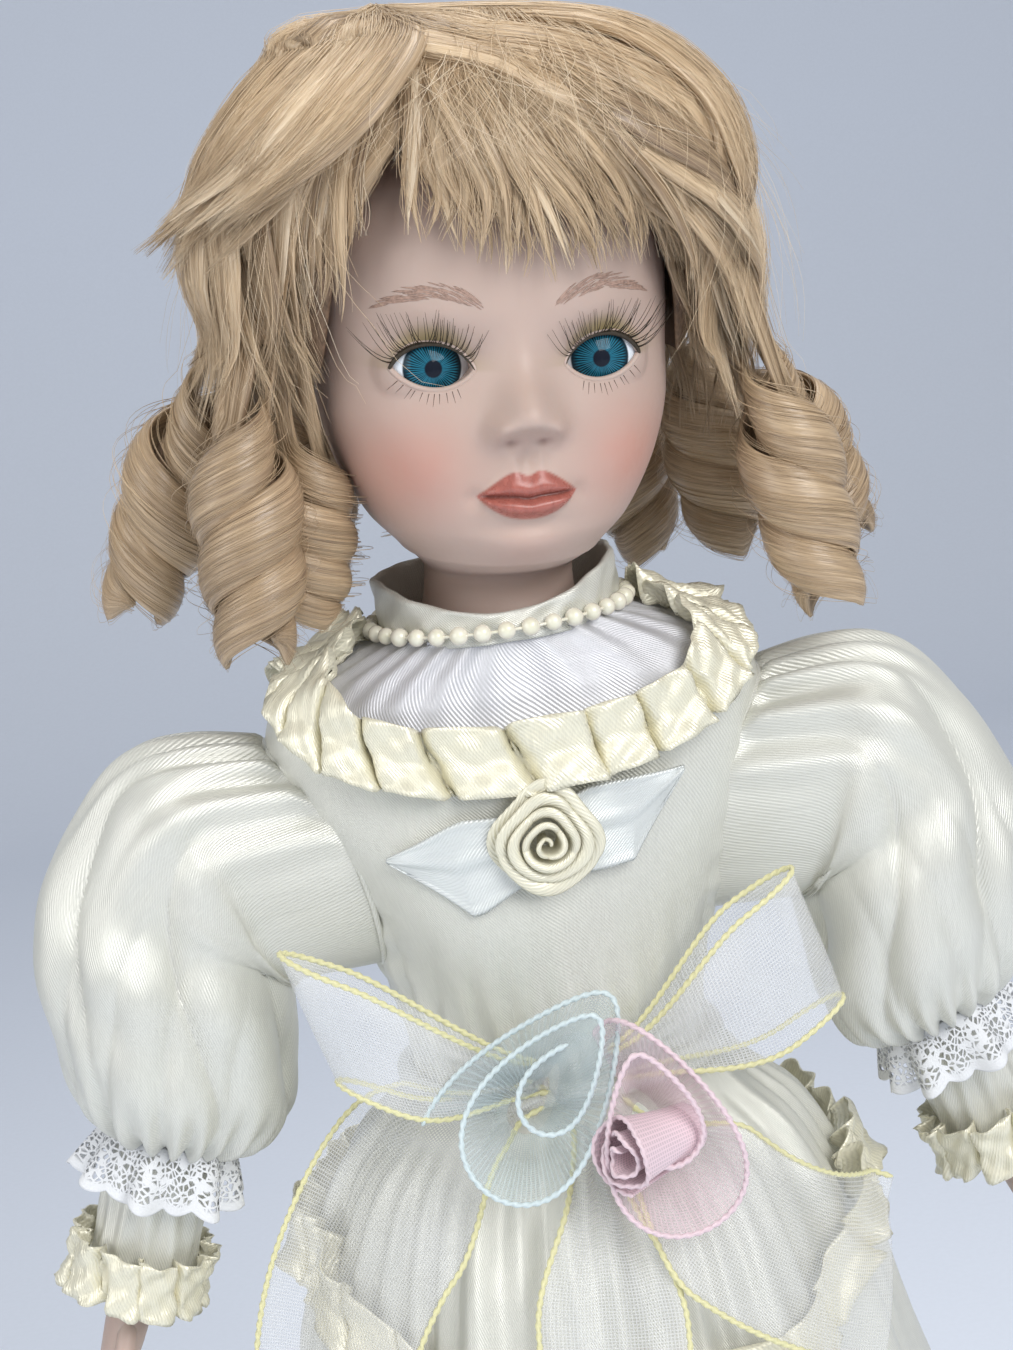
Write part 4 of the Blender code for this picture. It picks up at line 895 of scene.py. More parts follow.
def make_cap():
    """Hair under the locks, darker than the locks as painted shade between them, so that no scalp shows
    between them.
    """
    s = Shader("shaded_under_hair")
    look = bpy.context.scene.doll_wig
    grain = s.noise(s.stretch(s.object_place(), (6.0, 6.0, 0.5)), 300.0, 3.0)
    deep = toned(look.dark, 0.75)
    middle = toned(look.dark, 1.25)
    # Both tones are darker than the locks: painted shade in the gaps between them
    s.set(Base_Color=s.mix(s.span(grain, 0.3, 0.7), middle, deep), Roughness=0.6)
    s.bump(grain, 0.6, 0.0006)
    angle = turn(96)
    levels = shares(22) ** 0.6
    edge = hair_edge(angle) + 3.5 + 7.0 * smooth(0.45, 0.80, -np.sin(angle))
    inner, outer = 1.8, 6.0
    rows = []
    for distance, order in ((inner, levels[::-1]), (outer, levels)):
        for share in order:
            thick = inner + (distance - inner) * (0.15 + 0.85 * smooth(0.0, 0.25, share))
            rows.append(over_head(angle, edge + (HEAD_TOP - edge) * share, thick)[0])
    for row in (rows[0], rows[-1]):
        row[:, 2] = row[:, 2].max()
    first, last = (np.broadcast_to(row.mean(0), row.shape) for row in (rows[0], rows[-1]))
    rows = [first, *rows, last]
    mesh = grid_mesh("wig_cap", to_head(np.array(rows)), ring=True)
    add_piece("wig_cap", mesh, "head", s.material)
    return s.material


def make_fringe(material, smooth_hair):
    """Wispy fringe swept from the parting over the forehead."""
    rng = np.random.default_rng(11)
    strands = 16
    t = shares(17)
    # Each lock: angle where it begins and ends in degrees, height of its tip, distance from the head, fall
    locks = []
    count, clump = 84, 6
    for k in range(count):
        share = (k + rng.uniform(-0.4, 0.4)) / count
        if k % clump == 0:
            middle, longer = share + clump / 2 / count, rng.normal(0.0, 2.6)
        reach = 0.45 * share + 0.55 * middle
        low = 71.5 - 8.5 * float(smooth(0.0, 0.55, share)) + 3.0 * share + longer + rng.normal(0, 1.2)
        locks.append((-122.0 + 34.0 * share, -121.0 + 88.0 * reach + rng.normal(0, 2.0), low, 3.8, 1.25))
    for count, begin, shift, end, swing, low, drop, near, fall in (
        (22, -124.0, -8.0, -134.0, -26.0, 68.0, 22.0, 5.2, 1.1),
        (14, -86.0, 8.0, -42.0, 16.0, 66.0, 18.0, 5.0, 1.2),
    ):
        for _ in range(count):
            share = rng.uniform(0.0, 1.0)
            finish = end + swing * share + rng.normal(0, 2.5)
            locks.append((begin + shift * share, finish, low - drop * share, near, fall))
    guides, outs = [], []
    for begin, finish, low, near, fall in locks:
        z = 87.0 + (low - 87.0) * t**fall
        sway = 3.2 * np.sin(ROUND * rng.uniform(0.8, 1.4) * t + rng.uniform(0, ROUND)) * t
        angle = np.radians(begin + (finish - begin) * smooth(0.0, 0.95, t) + sway)
        thick = 14.0 + (near - 14.0) * smooth(0.15, 1.0, t) + rng.normal(0, 0.9) * t + 1.6 * t**4
        guide, out = over_head(angle, z, np.maximum(thick, 1.7))
        guides.append(guide)
        outs.append(out)
    guides, outs = np.array(guides), np.array(outs)
    add_locks("wig_fringe_locks", guides, outs, 1.5, 0.7, rng.normal(0.42, 0.12, len(guides)), smooth_hair)
    paths, out = spread_lock(rng, guides, outs, strands, 1.9, 0.8, 1.6)
    tone = np.repeat(rng.normal(0.52, 0.11, len(guides)), strands) + rng.normal(0, 0.07, len(paths))
    add_hair("wig_fringe", trimmed(rng, paths, 0.35), out, 0.16, tone, material, ["fringe"])


def curl_surface(shape, band, s, v, depth):
    """Points of one band of a curl at shares s along it and v across it, a depth under its surface."""
    spin = 2 * np.pi * (shape["turns"] * s + band / 2)
    ring = np.cos(spin)[..., None] * shape["out"] + np.sin(spin)[..., None] * shape["turn"]
    taper = (0.40 + 0.60 * smooth(-0.05, 0.30, s)) * (1.0 - 0.40 * s**3.5)
    size = shape["radius"] * taper * (1 - 0.24 * np.abs(2 * v) ** 2.4) * (0.95 + 0.03 * band) - depth
    width = shape["length"] / shape["turns"] / 2 * 1.14
    width = width * (1 - 0.35 * s**2) * (1 - 0.75 * smooth(0.90, 1.0, s))
    along = (shape["length"] - 2.0) * s + width * (v + 0.5)
    return shape["top"] + shape["axis"] * along[..., None] + ring * size[..., None], ring


def curl_band(shape, band, v, depth):
    """A band's points from the crown to the curl's end, at shares v across it."""
    t = np.linspace(0.0, 1.0, 10, endpoint=False)
    s, v, depth = np.broadcast_arrays(shares(56)[:, None], v[None], depth[None])
    curl, ring = curl_surface(shape, band, s, v, depth)
    middle, out = over_head(shape["angle"] + 0.14 * (band - 0.5), 76.0 - 26.0 * t, 11.0)
    level = np.cross([0.0, 0.0, 1.0], shape["away"]) * shape["hand"]
    fan = shape["fan"] * v[:1] * (1 - 0.4 * t[:, None])
    sunk = depth[:1] + 2.0 * np.abs(2 * v[:1]) ** 2
    begin = middle[:, None] + level * fan[..., None] - out[:, None] * sunk[..., None]
    ahead = curl[0] - (curl[1] - curl[0])
    begin = begin + (ahead - begin[-1])[None] * (t**1.6)[:, None, None]
    out = np.broadcast_to(out[:, None], begin.shape)
    return np.concatenate([begin, curl]), np.concatenate([out, ring])


def make_ringlets(material, smooth_hair, under):
    """Sausage curls round the sides and back of the head, each of two broad bands."""
    rng = np.random.default_rng(19)
    radius = bpy.context.scene.doll_wig.curl_radius / MM
    count = 10
    curls = []
    for k in range(count):
        angle = math.radians(-17.0 + 214.0 * k / (count - 1))
        orbit = 47.0 if math.sin(angle) > 0 else 45.0
        lean = {0: 0.28, 1: 0.44, 8: 0.38, 9: 0.06}.get(k, rng.uniform(0.0, 0.18))
        length = 35.0 + rng.uniform(0.0, 7.0) + (4.0 if k > 7 else 0.0)
        size = radius * rng.uniform(0.98, 1.10)
        curls.append((f"ringlet_{k + 1:02d}", angle, orbit, 46.0, length, lean, size, 20.0))
    curls.append(("ringlet_front_right", math.radians(196.0), 33.5, 37.0, 31.0, 0.0, radius * 0.92, 11.0))
    around = turn(20)
    cross = 0.5 * np.cos(around)
    under_side = np.where(np.sin(around) > 0, 0.0, 1.6) * np.abs(np.sin(around)) ** 0.6
    strands = 42
    cores, paths, outs, tones = [], [], [], []
    for k, (name, angle, orbit, top, length, lean, size, fan) in enumerate(curls):
        hand = 1.0 if k % 2 else -1.0
        away = np.array([math.cos(angle), math.sin(angle), 0.0])
        sideways = np.cross([0.0, 0.0, 1.0], away) * hand
        axis = unit(away * lean + sideways * rng.uniform(-0.18, 0.18) + np.array([0.0, 0.0, -1.0]))
        out_way = unit(away - axis * (away @ axis))
        shape = {
            "angle": angle, "away": away, "hand": hand, "fan": fan, "radius": size, "length": length,
            "axis": axis, "out": out_way, "turn": np.cross(axis, out_way) * hand,
            "top": away * orbit + np.array([0.0, 0.0, top]), "turns": rng.uniform(1.55, 1.95),
        }
        bodies = []
        for band in (0, 1):
            rows = curl_band(shape, band, cross, under_side)[0]
            rows[0], rows[-1] = rows[0].mean(0), rows[-1].mean(0)
            bodies.append(rows if hand > 0 else rows[:, ::-1])
            v = rng.uniform(-0.62, 0.62, strands)
            loose = np.where(rng.uniform(0, 1, strands) > 0.86, rng.uniform(0.8, 2.6, strands), 0.0)
            path, out = curl_band(shape, band, v, -rng.uniform(-0.1, 0.75, strands) ** 2 - loose)
            paths.append(path.swapaxes(0, 1))
            outs.append(out.swapaxes(0, 1))
        bodies = np.array(bodies)
        # The curls are toned darker than the crown: painted shade where they hang under it
        tone = 0.31 + rng.normal(0, 0.05)
        across = 11.0 * (cross if hand > 0 else cross[::-1]) + 37.0 * np.arange(2)[:, None, None] + 91.0 * k
        along = 110.0 * np.linspace(0.0, 1.0, bodies.shape[1])[None, :, None]
        nodes = [name] if k < count else []
        add_bodies("wig_" + name, bodies, across, along, tone, smooth_hair, nodes)
        tones.append(tone + 0.03 + rng.normal(0, 0.07, 2 * strands))
        # Darker cores inside the curls, in the under-hair colour: painted shade between the turns
        core = shape["top"] + axis * np.linspace(length * 0.22, length * 0.84, 12)[:, None]
        swell = size * 0.60 * np.sin(np.linspace(0.25, np.pi - 0.12, 12)) ** 0.6
        cores.append((tube_rows(to_head(core), swell * MM, 14, start_up=(0.0, 1.0, 0.0)), True, False))
    add_piece("wig_curl_cores", merged_mesh("wig_curl_cores", cores), "head", under)
    for name, first, last in (("wig_left_curl_strands", 0, 5), ("wig_right_curl_strands", 5, 11)):
        path, out = np.concatenate(paths[2 * first : 2 * last]), np.concatenate(outs[2 * first : 2 * last])
        add_hair(name, path, out, 0.12, np.concatenate(tones[first:last]), material)


def side_locks(rng):
    """Stops of the layered locks at the sides, as angle in degrees, height and distance from the middle."""
    root = (math.degrees(math.atan2(PARTING[1], PARTING[0])), 102.0, math.hypot(PARTING[0], PARTING[1]))
    locks = {"flick": [], "right": [], "left": []}
    for k in range(10):
        a, tip = 186.0 + 2.8 * k, rng.uniform(-4.0, 3.0)
        way = [(a + 8, 95.0, 34.0), (a + 4, 83.0, 44.5), (a, 73.0, 49.5 - 0.3 * k)]
        locks["flick"].append([root, *way, (a - 2, 66.0 + tip, 57.0 - 1.1 * k + tip * 0.6)])
    for k in range(18):
        a, tip = 190.0 + 2.4 * k, rng.uniform(-5.0, 4.0)
        end = (a - 15, 69.0 + 1.3 * tip, 53.0 + rng.uniform(-2.0, 2.5))
        way = [(a + 8, 98.0, 29.0), (a + 5, 87.0 + 0.5 * tip, 42.0), (a - 5, 77.0 + tip, 47.5)]
        locks["flick"].append([root, *way, end])
    for k in range(14):
        a, tip, sway = 160.0 + 3.2 * k, rng.uniform(-6.0, 6.0), rng.uniform(-2.0, 2.0)
        way = [(a + 4, 93.0, 35.0), (a, 77.0, 46.0), (a + 2, 63.0, 48.5 + sway), (a - 1, 52.0, 46.5)]
        locks["right"].append([root, *way, (a, 43.0 + tip, 50.0 + sway)])
    for k in range(8):
        a, tip = -8.0 - 3.2 * k, rng.uniform(-2.5, 2.5)
        way = [(a - 14, 100.0, 22.0), (a - 4, 90.0, 38.0), (a, 78.0, 43.5), (a + 2, 70.0 + tip, 43.0)]
        locks["left"].append([root, *way, (a + 3, 68.5 + tip, 39.5 - 0.4 * k)])
    for k in range(13):
        a, tip, sway = 18.0 - 4.2 * k, rng.uniform(-6.0, 6.0), rng.uniform(-1.5, 1.5)
        way = [(a - 8, 99.0, 24.0), (a, 86.0, 40.0), (a, 70.0, 41.5), (a + 1, 58.0, 38.5 + sway)]
        locks["left"].append([root, *way, (a, 49.0, 40.5 - 0.2 * k), (a, 41.0 + tip, 45.0 - 0.3 * k)])
    return locks


def make_stray_hair(material, smooth_hair):
    """Layered locks at the sides that flick out or turn under, and loose hairs that stand off the wig."""
    rng = np.random.default_rng(23)
    points = 22
    for name, locks in side_locks(rng).items():
        guides, out = (np.array(part) for part in zip(*(lock_path(stops, points) for stops in locks)))
        dress_locks(rng, "wig_side_" + name, guides, out, 3.8, 1.5, 1.2, 54, material, smooth_hair)
    count = 640
    t = shares(points)
    angle = rng.uniform(0, 2 * np.pi, count)
    low = np.where(np.sin(angle) < -0.6, 72.0, rng.uniform(40.0, 72.0, count))
    z = 89.0 + (low - 89.0)[:, None] * t[None] ** 1.5
    bend = angle[:, None] + rng.normal(0, 0.40, (count, 1)) * t[None] ** 2
    wave = ROUND * rng.uniform(0.5, 1.8, (count, 1)) * t + rng.uniform(0, ROUND, (count, 1))
    swing = 1.8 * np.sin(wave) * t
    loose, out = over_head(bend, z, 14.5 + rng.uniform(0.2, 3.2, (count, 1)) ** 2 * t**2 + swing)
    add_hair("wig_stray_hair", loose, out, 0.12, rng.normal(0.58, 0.12, count), material)


# Dress
TORSO_SECTIONS = (
    (0.2060, 0.0230, 0.0190),
    (0.2140, 0.0325, 0.0265),
    (0.2280, 0.0360, 0.0290),
    (0.2500, 0.0310, 0.0250),
    (0.2680, 0.0245, 0.0205),
    (0.2850, 0.0265, 0.0215),
    (0.3030, 0.0325, 0.0235),
    (0.3180, 0.0385, 0.0230),
    (0.3300, 0.0420, 0.0215),
    (0.3365, 0.0395, 0.0203),
    (0.3405, 0.0330, 0.0193),
    (0.3435, 0.0255, 0.0186),
    (0.3460, 0.0192, 0.0182),
)
TORSO_SQUARENESS = 2.3
WAIST = 0.2680
COLLAR_BASE = 0.3460
COLLAR_RADIUS = 0.0199
SHOULDER_X = 0.0490
SHOULDER_Z = 0.3180
# Round holes in the bodice for the arms, in what lies further out than this on each side
ARMHOLE_RADIUS = 0.0118
ARMHOLE_X = 0.03
ARM_SPREAD = {"left": math.radians(20.0), "right": math.radians(22.0)}
SLEEVE_RADIUS = 0.0205
SLEEVE_END = 0.0560
SLEEVE_DROP = 0.0085
CUFF_RADIUS = 0.0086
CUFF_START = 0.0562
CUFF_END = 0.0850
CLOTH_THICK = 0.0006
RIBBON_THICK = 0.00025
ROSE_RIBBON_THICK = 0.00022
# Skirt: height, mean radius and depth of fold
SKIRT_SECTIONS = (
    (0.0150, 0.0880, 0.0060),
    (0.0800, 0.0800, 0.0050),
    (0.1400, 0.0690, 0.0037),
    (0.1900, 0.0590, 0.0027),
    (0.2240, 0.0510, 0.0019),
    (0.2420, 0.0455, 0.0014),
    (0.2540, 0.0395, 0.0010),
    (0.2640, 0.0300, 0.0006),
)
SKIRT_FOLDS = 12
HIP_RUFFLE_Z = 0.2400
HIP_RUFFLE_DIP = 0.0180


def torso_plain(angle, z):
    half, depth = through(TORSO_SECTIONS, z)
    exponent = 2.0 / TORSO_SQUARENESS
    return np.stack([half * power(np.cos(angle), exponent), depth * power(np.sin(angle), exponent), z], -1)


def skirt_plain(angle, z):
    waist_half, waist_depth = through(TORSO_SECTIONS, WAIST)
    radius, fold = through(SKIRT_SECTIONS, z)
    flat = 1.0 - 0.08 * smooth(0.190, 0.264, z)
    share = smooth(0.264, WAIST, z)
    half = radius + (waist_half + 0.001 - radius) * share
    depth = radius * flat + (waist_depth + 0.001 - radius * flat) * share
    exponent = 1.0 + (2.0 / TORSO_SQUARENESS - 1.0) * share
    wave = fold * np.cos(SKIRT_FOLDS * angle)
    x = (half + wave) * power(np.cos(angle), exponent)
    y = (depth + wave) * power(np.sin(angle), exponent)
    return np.stack([x, y, z], -1)


def off_surface(surface, angle, z, distance):
    """Points a distance outside a surface that is given by angle and height."""
    angle, z, distance = np.broadcast_arrays(angle, z, distance)
    around = surface(angle + 0.01, z) - surface(angle - 0.01, z)
    rise = surface(angle, z + 0.0004) - surface(angle, z - 0.0004)
    return surface(angle, z) + unit(np.cross(around, rise)) * distance[..., None]


def yoke_seam(angle):
    front = np.maximum(0.0, -np.sin(angle)) ** 1.6
    back = np.maximum(0.0, np.sin(angle)) ** 1.6
    return 0.3422 - 0.0157 * front - 0.0102 * back


def satin_material(name, colour, rough=0.37, pitch=0.00052):
    """Close twill with a soft sheen; the texture place is in metres of cloth."""
    s = Shader(name)
    place = s.cloth_place()
    part = s.node("ShaderNodeSeparateXYZ", Vector=place)
    slant = s.math("ADD", part.outputs[0], s.math("MULTIPLY", part.outputs[1], 0.6))
    twill = s.math("SINE", s.math("MULTIPLY", slant, 2 * math.pi / pitch))
    slub = s.noise(s.stretch(place, (30.0, 1.0, 1.0)), 240.0, 2.0)
    height = s.math("ADD", s.math("MULTIPLY", twill, 0.5), s.math("MULTIPLY", slub, 0.8))
    shade = s.math("MULTIPLY_ADD", twill, 0.30, s.span(slub, 0.3, 0.7, 0.25, 0.75))
    tone = s.mix(shade, toned(colour, 0.84), colour)
    s.set(Base_Color=tone, Roughness=rough, Metallic=0.25, Specular_IOR_Level=0.75)
    s.bump(height, 0.45, 0.00012)
    return s.material


def weave_material(name, colour):
    """Plain cotton weave."""
    s = Shader(name)
    place = s.object_place()
    across = s.math("MULTIPLY", s.waves(place, 0, 0.0006), s.waves(place, 2, 0.0006))
    slub = s.noise(place, 900.0, 2.0)
    tone = s.mix(s.span(slub, 0.3, 0.7), colour, toned(colour, 0.86))
    s.set(Base_Color=tone, Roughness=0.9, Sheen_Weight=0.2)
    s.bump(s.math("ADD", across, slub), 0.35, 0.0002)
    return s.material


def lace_material():
    """White net with worked sprigs, a scalloped worked edge and open holes."""
    s = Shader("white_lace")
    place = s.cloth_place()
    net = s.node("ShaderNodeTexVoronoi", {"feature": "DISTANCE_TO_EDGE"}, Vector=place, Scale=900.0)
    thread = s.span(net.outputs["Distance"], 0.20, 0.10)
    sprig = s.node("ShaderNodeTexVoronoi", {"feature": "F1"}, Vector=place, Scale=250.0)
    worked = s.span(sprig.outputs["Distance"], 0.34, 0.26)
    edge = s.span(s.attribute("edge"), 0.80, 0.88)
    head = s.span(s.attribute("edge"), 0.16, 0.10)
    cover = s.math("MAXIMUM", s.math("MAXIMUM", thread, worked), s.math("MAXIMUM", edge, head))
    twist = s.noise(place, 2600.0, 2.0)
    s.set(Base_Color=s.mix(twist, (0.72, 0.73, 0.75), (0.86, 0.87, 0.88)), Roughness=0.75, Alpha=cover)
    s.bump(s.math("ADD", cover, twist), 0.5, 0.0002)
    return s.material


def make_bodice(satin):
    angle = turn(224)[None]
    share = shares(70)[:, None]
    z = WAIST + (yoke_seam(angle) - WAIST) * share
    gathers = 0.0006 * (1 - smooth(0.0, 0.42, share)) * (np.sin(31 * angle) + 0.6 * np.sin(19 * angle + 1.0))
    middle = smooth(0.05, 0.4, share) * (1 - smooth(0.70, 0.95, share))
    drape = 0.0008 * np.sin(4 * angle + 6 * share) * middle
    slant = 11 * angle + 7 * share * np.tanh(4 * np.cos(angle))
    drape = drape + 0.0008 * (np.abs(np.sin(slant)) ** 0.7 - 0.6) * bump(share, 0.24, 0.20)
    pull = 0.0004 * np.sin(60 * share + 9 * np.abs(np.cos(angle))) * smooth(0.75, 0.95, np.abs(np.cos(angle)))
    rows = off_surface(torso_plain, angle, z, 0.0015 + gathers + drape + pull * bump(share, 0.45, 0.25))
    count, columns, _ = rows.shape
    faces, places = grid_faces(count, columns, ring=True)
    corners = rows.reshape(-1, 3)[faces].mean(1)
    hole = np.hypot(corners[:, 1], corners[:, 2] - SHOULDER_Z) < ARMHOLE_RADIUS
    kept = ~(hole & (np.abs(corners[:, 0]) > ARMHOLE_X))
    wide = line_length(rows, 1).mean() / columns
    tall = line_length(rows, 0).mean() / (count - 1)
    mesh = build_mesh("satin_bodice", rows, faces[kept], places[kept] * np.array([wide, tall]))
    piece = add_piece("satin_bodice", mesh, "torso", satin, ["bodice"])
    thicken(piece, CLOTH_THICK, -1.0)
    declare_sheet(rows, ring=True)


def make_yoke(satin):
    angle = turn(224)[None]
    share = shares(30)[:, None]
    z = yoke_seam(angle) - 0.0012 + (COLLAR_BASE + 0.0018 - yoke_seam(angle)) * share
    folds = 0.00032 * np.sin(27 * angle + 2 * np.sin(3 * angle)) * smooth(0.0, 0.7, share)
    rows = off_surface(torso_plain, angle, z, 0.0015 + folds)
    add_cloth(
        "satin_yoke", rows, "torso", satin, "yoke_panel", 0.0005,
        offset=-1.0,
    )


def make_collar(satin):
    angle = turn(200)
    top = 0.3560 - 0.0055 * np.maximum(0.0, -np.sin(angle)) ** 2
    base = 0.3457
    rows = []
    outside = [(0.0010, share) for share in np.linspace(0, 1, 14)]
    rim = [(0.0008, 1.04), (0.0004, 1.055), (-0.0001, 1.03)]
    for out, share in outside + rim:
        soft = 0.00022 * np.sin(9 * angle + 5 * share) + 0.00018 * np.sin(17 * angle - 7 * share)
        rows.append((COLLAR_RADIUS + out + soft, base + (top - base) * share))
    for share in np.linspace(0.97, 0.0, 8):
        rows.append((COLLAR_RADIUS - 0.0002, base + (top - base) * share))
    rows = np.array([np.stack([r * np.cos(angle), r * np.sin(angle), z], -1) for r, z in rows])
    mesh = grid_mesh("satin_collar", rows, ring=True, loop=True)
    piece = add_piece("satin_collar", mesh, "torso", satin, ["stand_collar"])
    declare_sheet(rows[: len(outside) + 2], ring=True)


def merged_mesh(name, grids):
    """One mesh from several closed grids, each given as rows, ring and loop."""
    points, faces, uvs, start = [], [], [], 0
    for rows, ring, loop in grids:
        rows = np.asarray(rows, float)
        face, place = grid_faces(rows.shape[0], rows.shape[1], ring, loop)
        size = np.array([line_length(rows, axis).mean() / rows.shape[axis] for axis in (1, 0)])
        points.append(rows.reshape(-1, 3))
        faces.append(face + start)
        uvs.append(place * size)
        start += len(points[-1])
    return build_mesh(name, np.concatenate(points), np.concatenate(faces), np.concatenate(uvs))


def make_pearls():
    s = Shader("pearl_bead")
    cloud = s.noise(s.object_place(), 500.0, 2.0)
    tint = s.node("ShaderNodeLayerWeight", Blend=0.4).outputs["Facing"]
    base = s.mix(s.span(cloud, 0.3, 0.7), (0.80, 0.78, 0.60), (0.86, 0.84, 0.70))
    tone = s.mix(tint, base, (0.80, 0.72, 0.62))
    s.set(Base_Color=tone, Roughness=0.24, Coat_Weight=0.5, Coat_Roughness=0.12)
    s.bump(cloud, 0.02, 0.0001)
    orbit, height, count = 0.0224, 0.3480, 35
    bead, _, _ = ball(9, 16)
    rng = np.random.default_rng(3)
    grids = []
    for k in range(count):
        angle = 2 * np.pi * k / count
        size = 0.00152 * rng.uniform(0.95, 1.05)
        middle = np.array([orbit * math.cos(angle), orbit * math.sin(angle), height])
        grids.append((middle + bead * size, True, False))
    angle = turn(140)
    thread = np.stack([orbit * np.cos(angle), orbit * np.sin(angle), np.full(140, height)], -1)
    grids.append((tube_rows(thread, 0.00030, 6, closed=True), True, True))
    mesh = merged_mesh("pearl_beads", grids)
    add_piece("pearl_beads", mesh, "torso", s.material, ["pearl_string"])


def ruffle_rows(pleats, width, lift, place, seed):
    """Rows of a gathered ribbon, stitched down along its middle and standing out in folds at both edges."""
    rng = np.random.default_rng(seed)
    angle = turn(pleats * 24)[None]
    across = np.linspace(-0.5, 0.5, 15)[:, None]
    edge = np.abs(2 * across)
    sway = sum(rng.uniform(0.2, 0.6) * np.sin(k * angle + rng.uniform(0, ROUND)) for k in (3, 5, 8))
    phase = pleats * angle + sway + np.sign(across) * 0.9 * edge
    wave = 0.5 + 0.5 * np.cos(phase)
    box = smooth(0.16, 0.62, wave)
    pleat = np.floor((phase + np.pi) / (2 * np.pi)).astype(int)
    full = rng.uniform(0.66, 1.10, pleat.max() - pleat.min() + 1)[pleat - pleat.min()]
    crinkle = 0.00030 * np.sin(4 * phase + 9 * across) + 0.00036 * np.sin(2.3 * phase - 13 * across + 1)
    rise = lift * (0.05 + 0.95 * (0.66 + 0.34 * edge) * box * full) + crinkle * (0.4 + edge)
    slide = 0.17 * np.sin(phase) * (0.80 + 0.35 * edge) * 2 * np.pi / pleats
    uneven = 0.0007 * (full - 0.9) + 0.0004 * np.sin(phase + 2)
    reach = across * width * (1.0 + 0.12 * (box - 0.5) * edge) + uneven
    return place(angle + slide, reach, rise)


def make_ruffles(ribbon):
    def on_yoke(angle, reach, rise):
        spread = 0.52 + 0.50 * np.abs(np.sin(angle)) ** 1.5
        return off_surface(torso_plain, angle, yoke_seam(angle) + reach * spread, 0.0022 + rise)

    def on_hip(angle, reach, rise):
        pressed = 1 - 0.62 * smooth(0.35, 0.70, -np.sin(angle))
        level = HIP_RUFFLE_Z - HIP_RUFFLE_DIP * smooth(0.25, 0.95, -np.sin(angle))
        return off_surface(skirt_plain, angle, level + reach * 0.92, 0.0020 + rise * pressed)

    for name, node, under, pleats, place, seed in (
        ("yoke_gathers", "yoke_ruffle", "satin_bodice", 25, on_yoke, 2),
        ("hip_gathers", "hip_ruffle", "satin_skirt", 28, on_hip, 4),
    ):
        rows = ruffle_rows(pleats, 0.0108, 0.0050, place, seed)
        add_cloth(name, rows, "torso", ribbon, node, RIBBON_THICK)


def make_flower(ribbon, leaf):
    """Ribbon rose of folded petals with two pointed leaves on the front of the bodice."""
    height = 0.3132
    middle = off_surface(torso_plain, np.array(-np.pi / 2), np.array(height), np.array(0.0024))
    turns, steps = 4.6, 500
    t = shares(steps)[:, None]
    v = shares(15)[None]
    angle = 2 * np.pi * turns * t
    petal = np.abs(np.sin(angle * 1.25 + 0.6)) ** 0.6
    radius = 0.0002 + 0.0081 * t**0.85
    depth = (0.0062 - 0.0034 * t**1.5) * (0.84 + 0.16 * petal) * (1 - 0.7 * smooth(0.93, 1.0, t))
    lip = smooth(0.55, 1.0, v)
    out = radius * (0.86 + 0.14 * v) + 0.0022 * lip * (0.08 + 0.92 * t) * (0.7 + 0.3 * petal)
    out = out - 0.0016 * smooth(0.93, 1.0, t)
    front = depth * np.sin(v * 1.95) / np.sin(1.57)
    square = 1.0 + 0.07 * np.cos(4 * angle + 0.6) * t + 0.04 * np.cos(3 * angle + 1.9)
    petals = (out * square * np.cos(angle), -front, out * square * np.sin(angle))
    rows = np.stack(np.broadcast_arrays(*petals), -1) + middle
    add_cloth(
        "ribbon_rose", rows, "torso", ribbon, "satin_rose", ROSE_RIBBON_THICK,
        ring=False,
    )
    # Each leaf is a folded ribbon: distance from the rose's middle, lower and upper edge in millimetres
    outlines = {
        "right": (
            (3.0, -7.0, 4.5), (9.4, -10.6, 4.9), (11.6, -11.2, 4.3), (17.0, -5.8, 2.1), (22.4, -0.3, 0.3),
        ),
        "left": (
            (3.0, -6.4, 6.0), (5.5, -6.6, 7.2), (12.0, -6.2, 7.5), (16.0, 1.0, 7.6), (19.4, 7.0, 7.7),
        ),
    }
    for side, sign in SIDES:
        stops = np.array(outlines[side]) * MM
        reach = np.linspace(stops[0, 0], stops[-1, 0], 60)
        low, high = (np.interp(reach, stops[:, 0], stops[:, k])[:, None] for k in (1, 2))
        w = shares(25)[None]
        u = shares(60)[:, None]
        z = height + low + (high - low) * w
        around = -np.pi / 2 + sign * reach[:, None] / 0.0335
        crease = 0.0009 * np.maximum(0.0, 1 - np.abs(w - 0.55) / 0.10) + 0.0007 * smooth(0.55, 0.62, w)
        hem = 0.00035 * (bump(w, 0.03, 0.03) + bump(w, 0.97, 0.03))
        fold = crease * (1 - 0.6 * u) + hem + 0.0012 * u**3 + 0.0004 * np.sin(7 * u + 3 * w)
        rows = off_surface(torso_plain, around, z, 0.0028 + fold)
        name = side + "_ribbon_leaf"
        mesh = grid_mesh(name, rows if sign < 0 else rows[:, ::-1])
        piece = add_piece(name, mesh, "torso", leaf, [side + "_rose_leaf"])
        thicken(piece, ROSE_RIBBON_THICK)
        declare_sheet(rows)


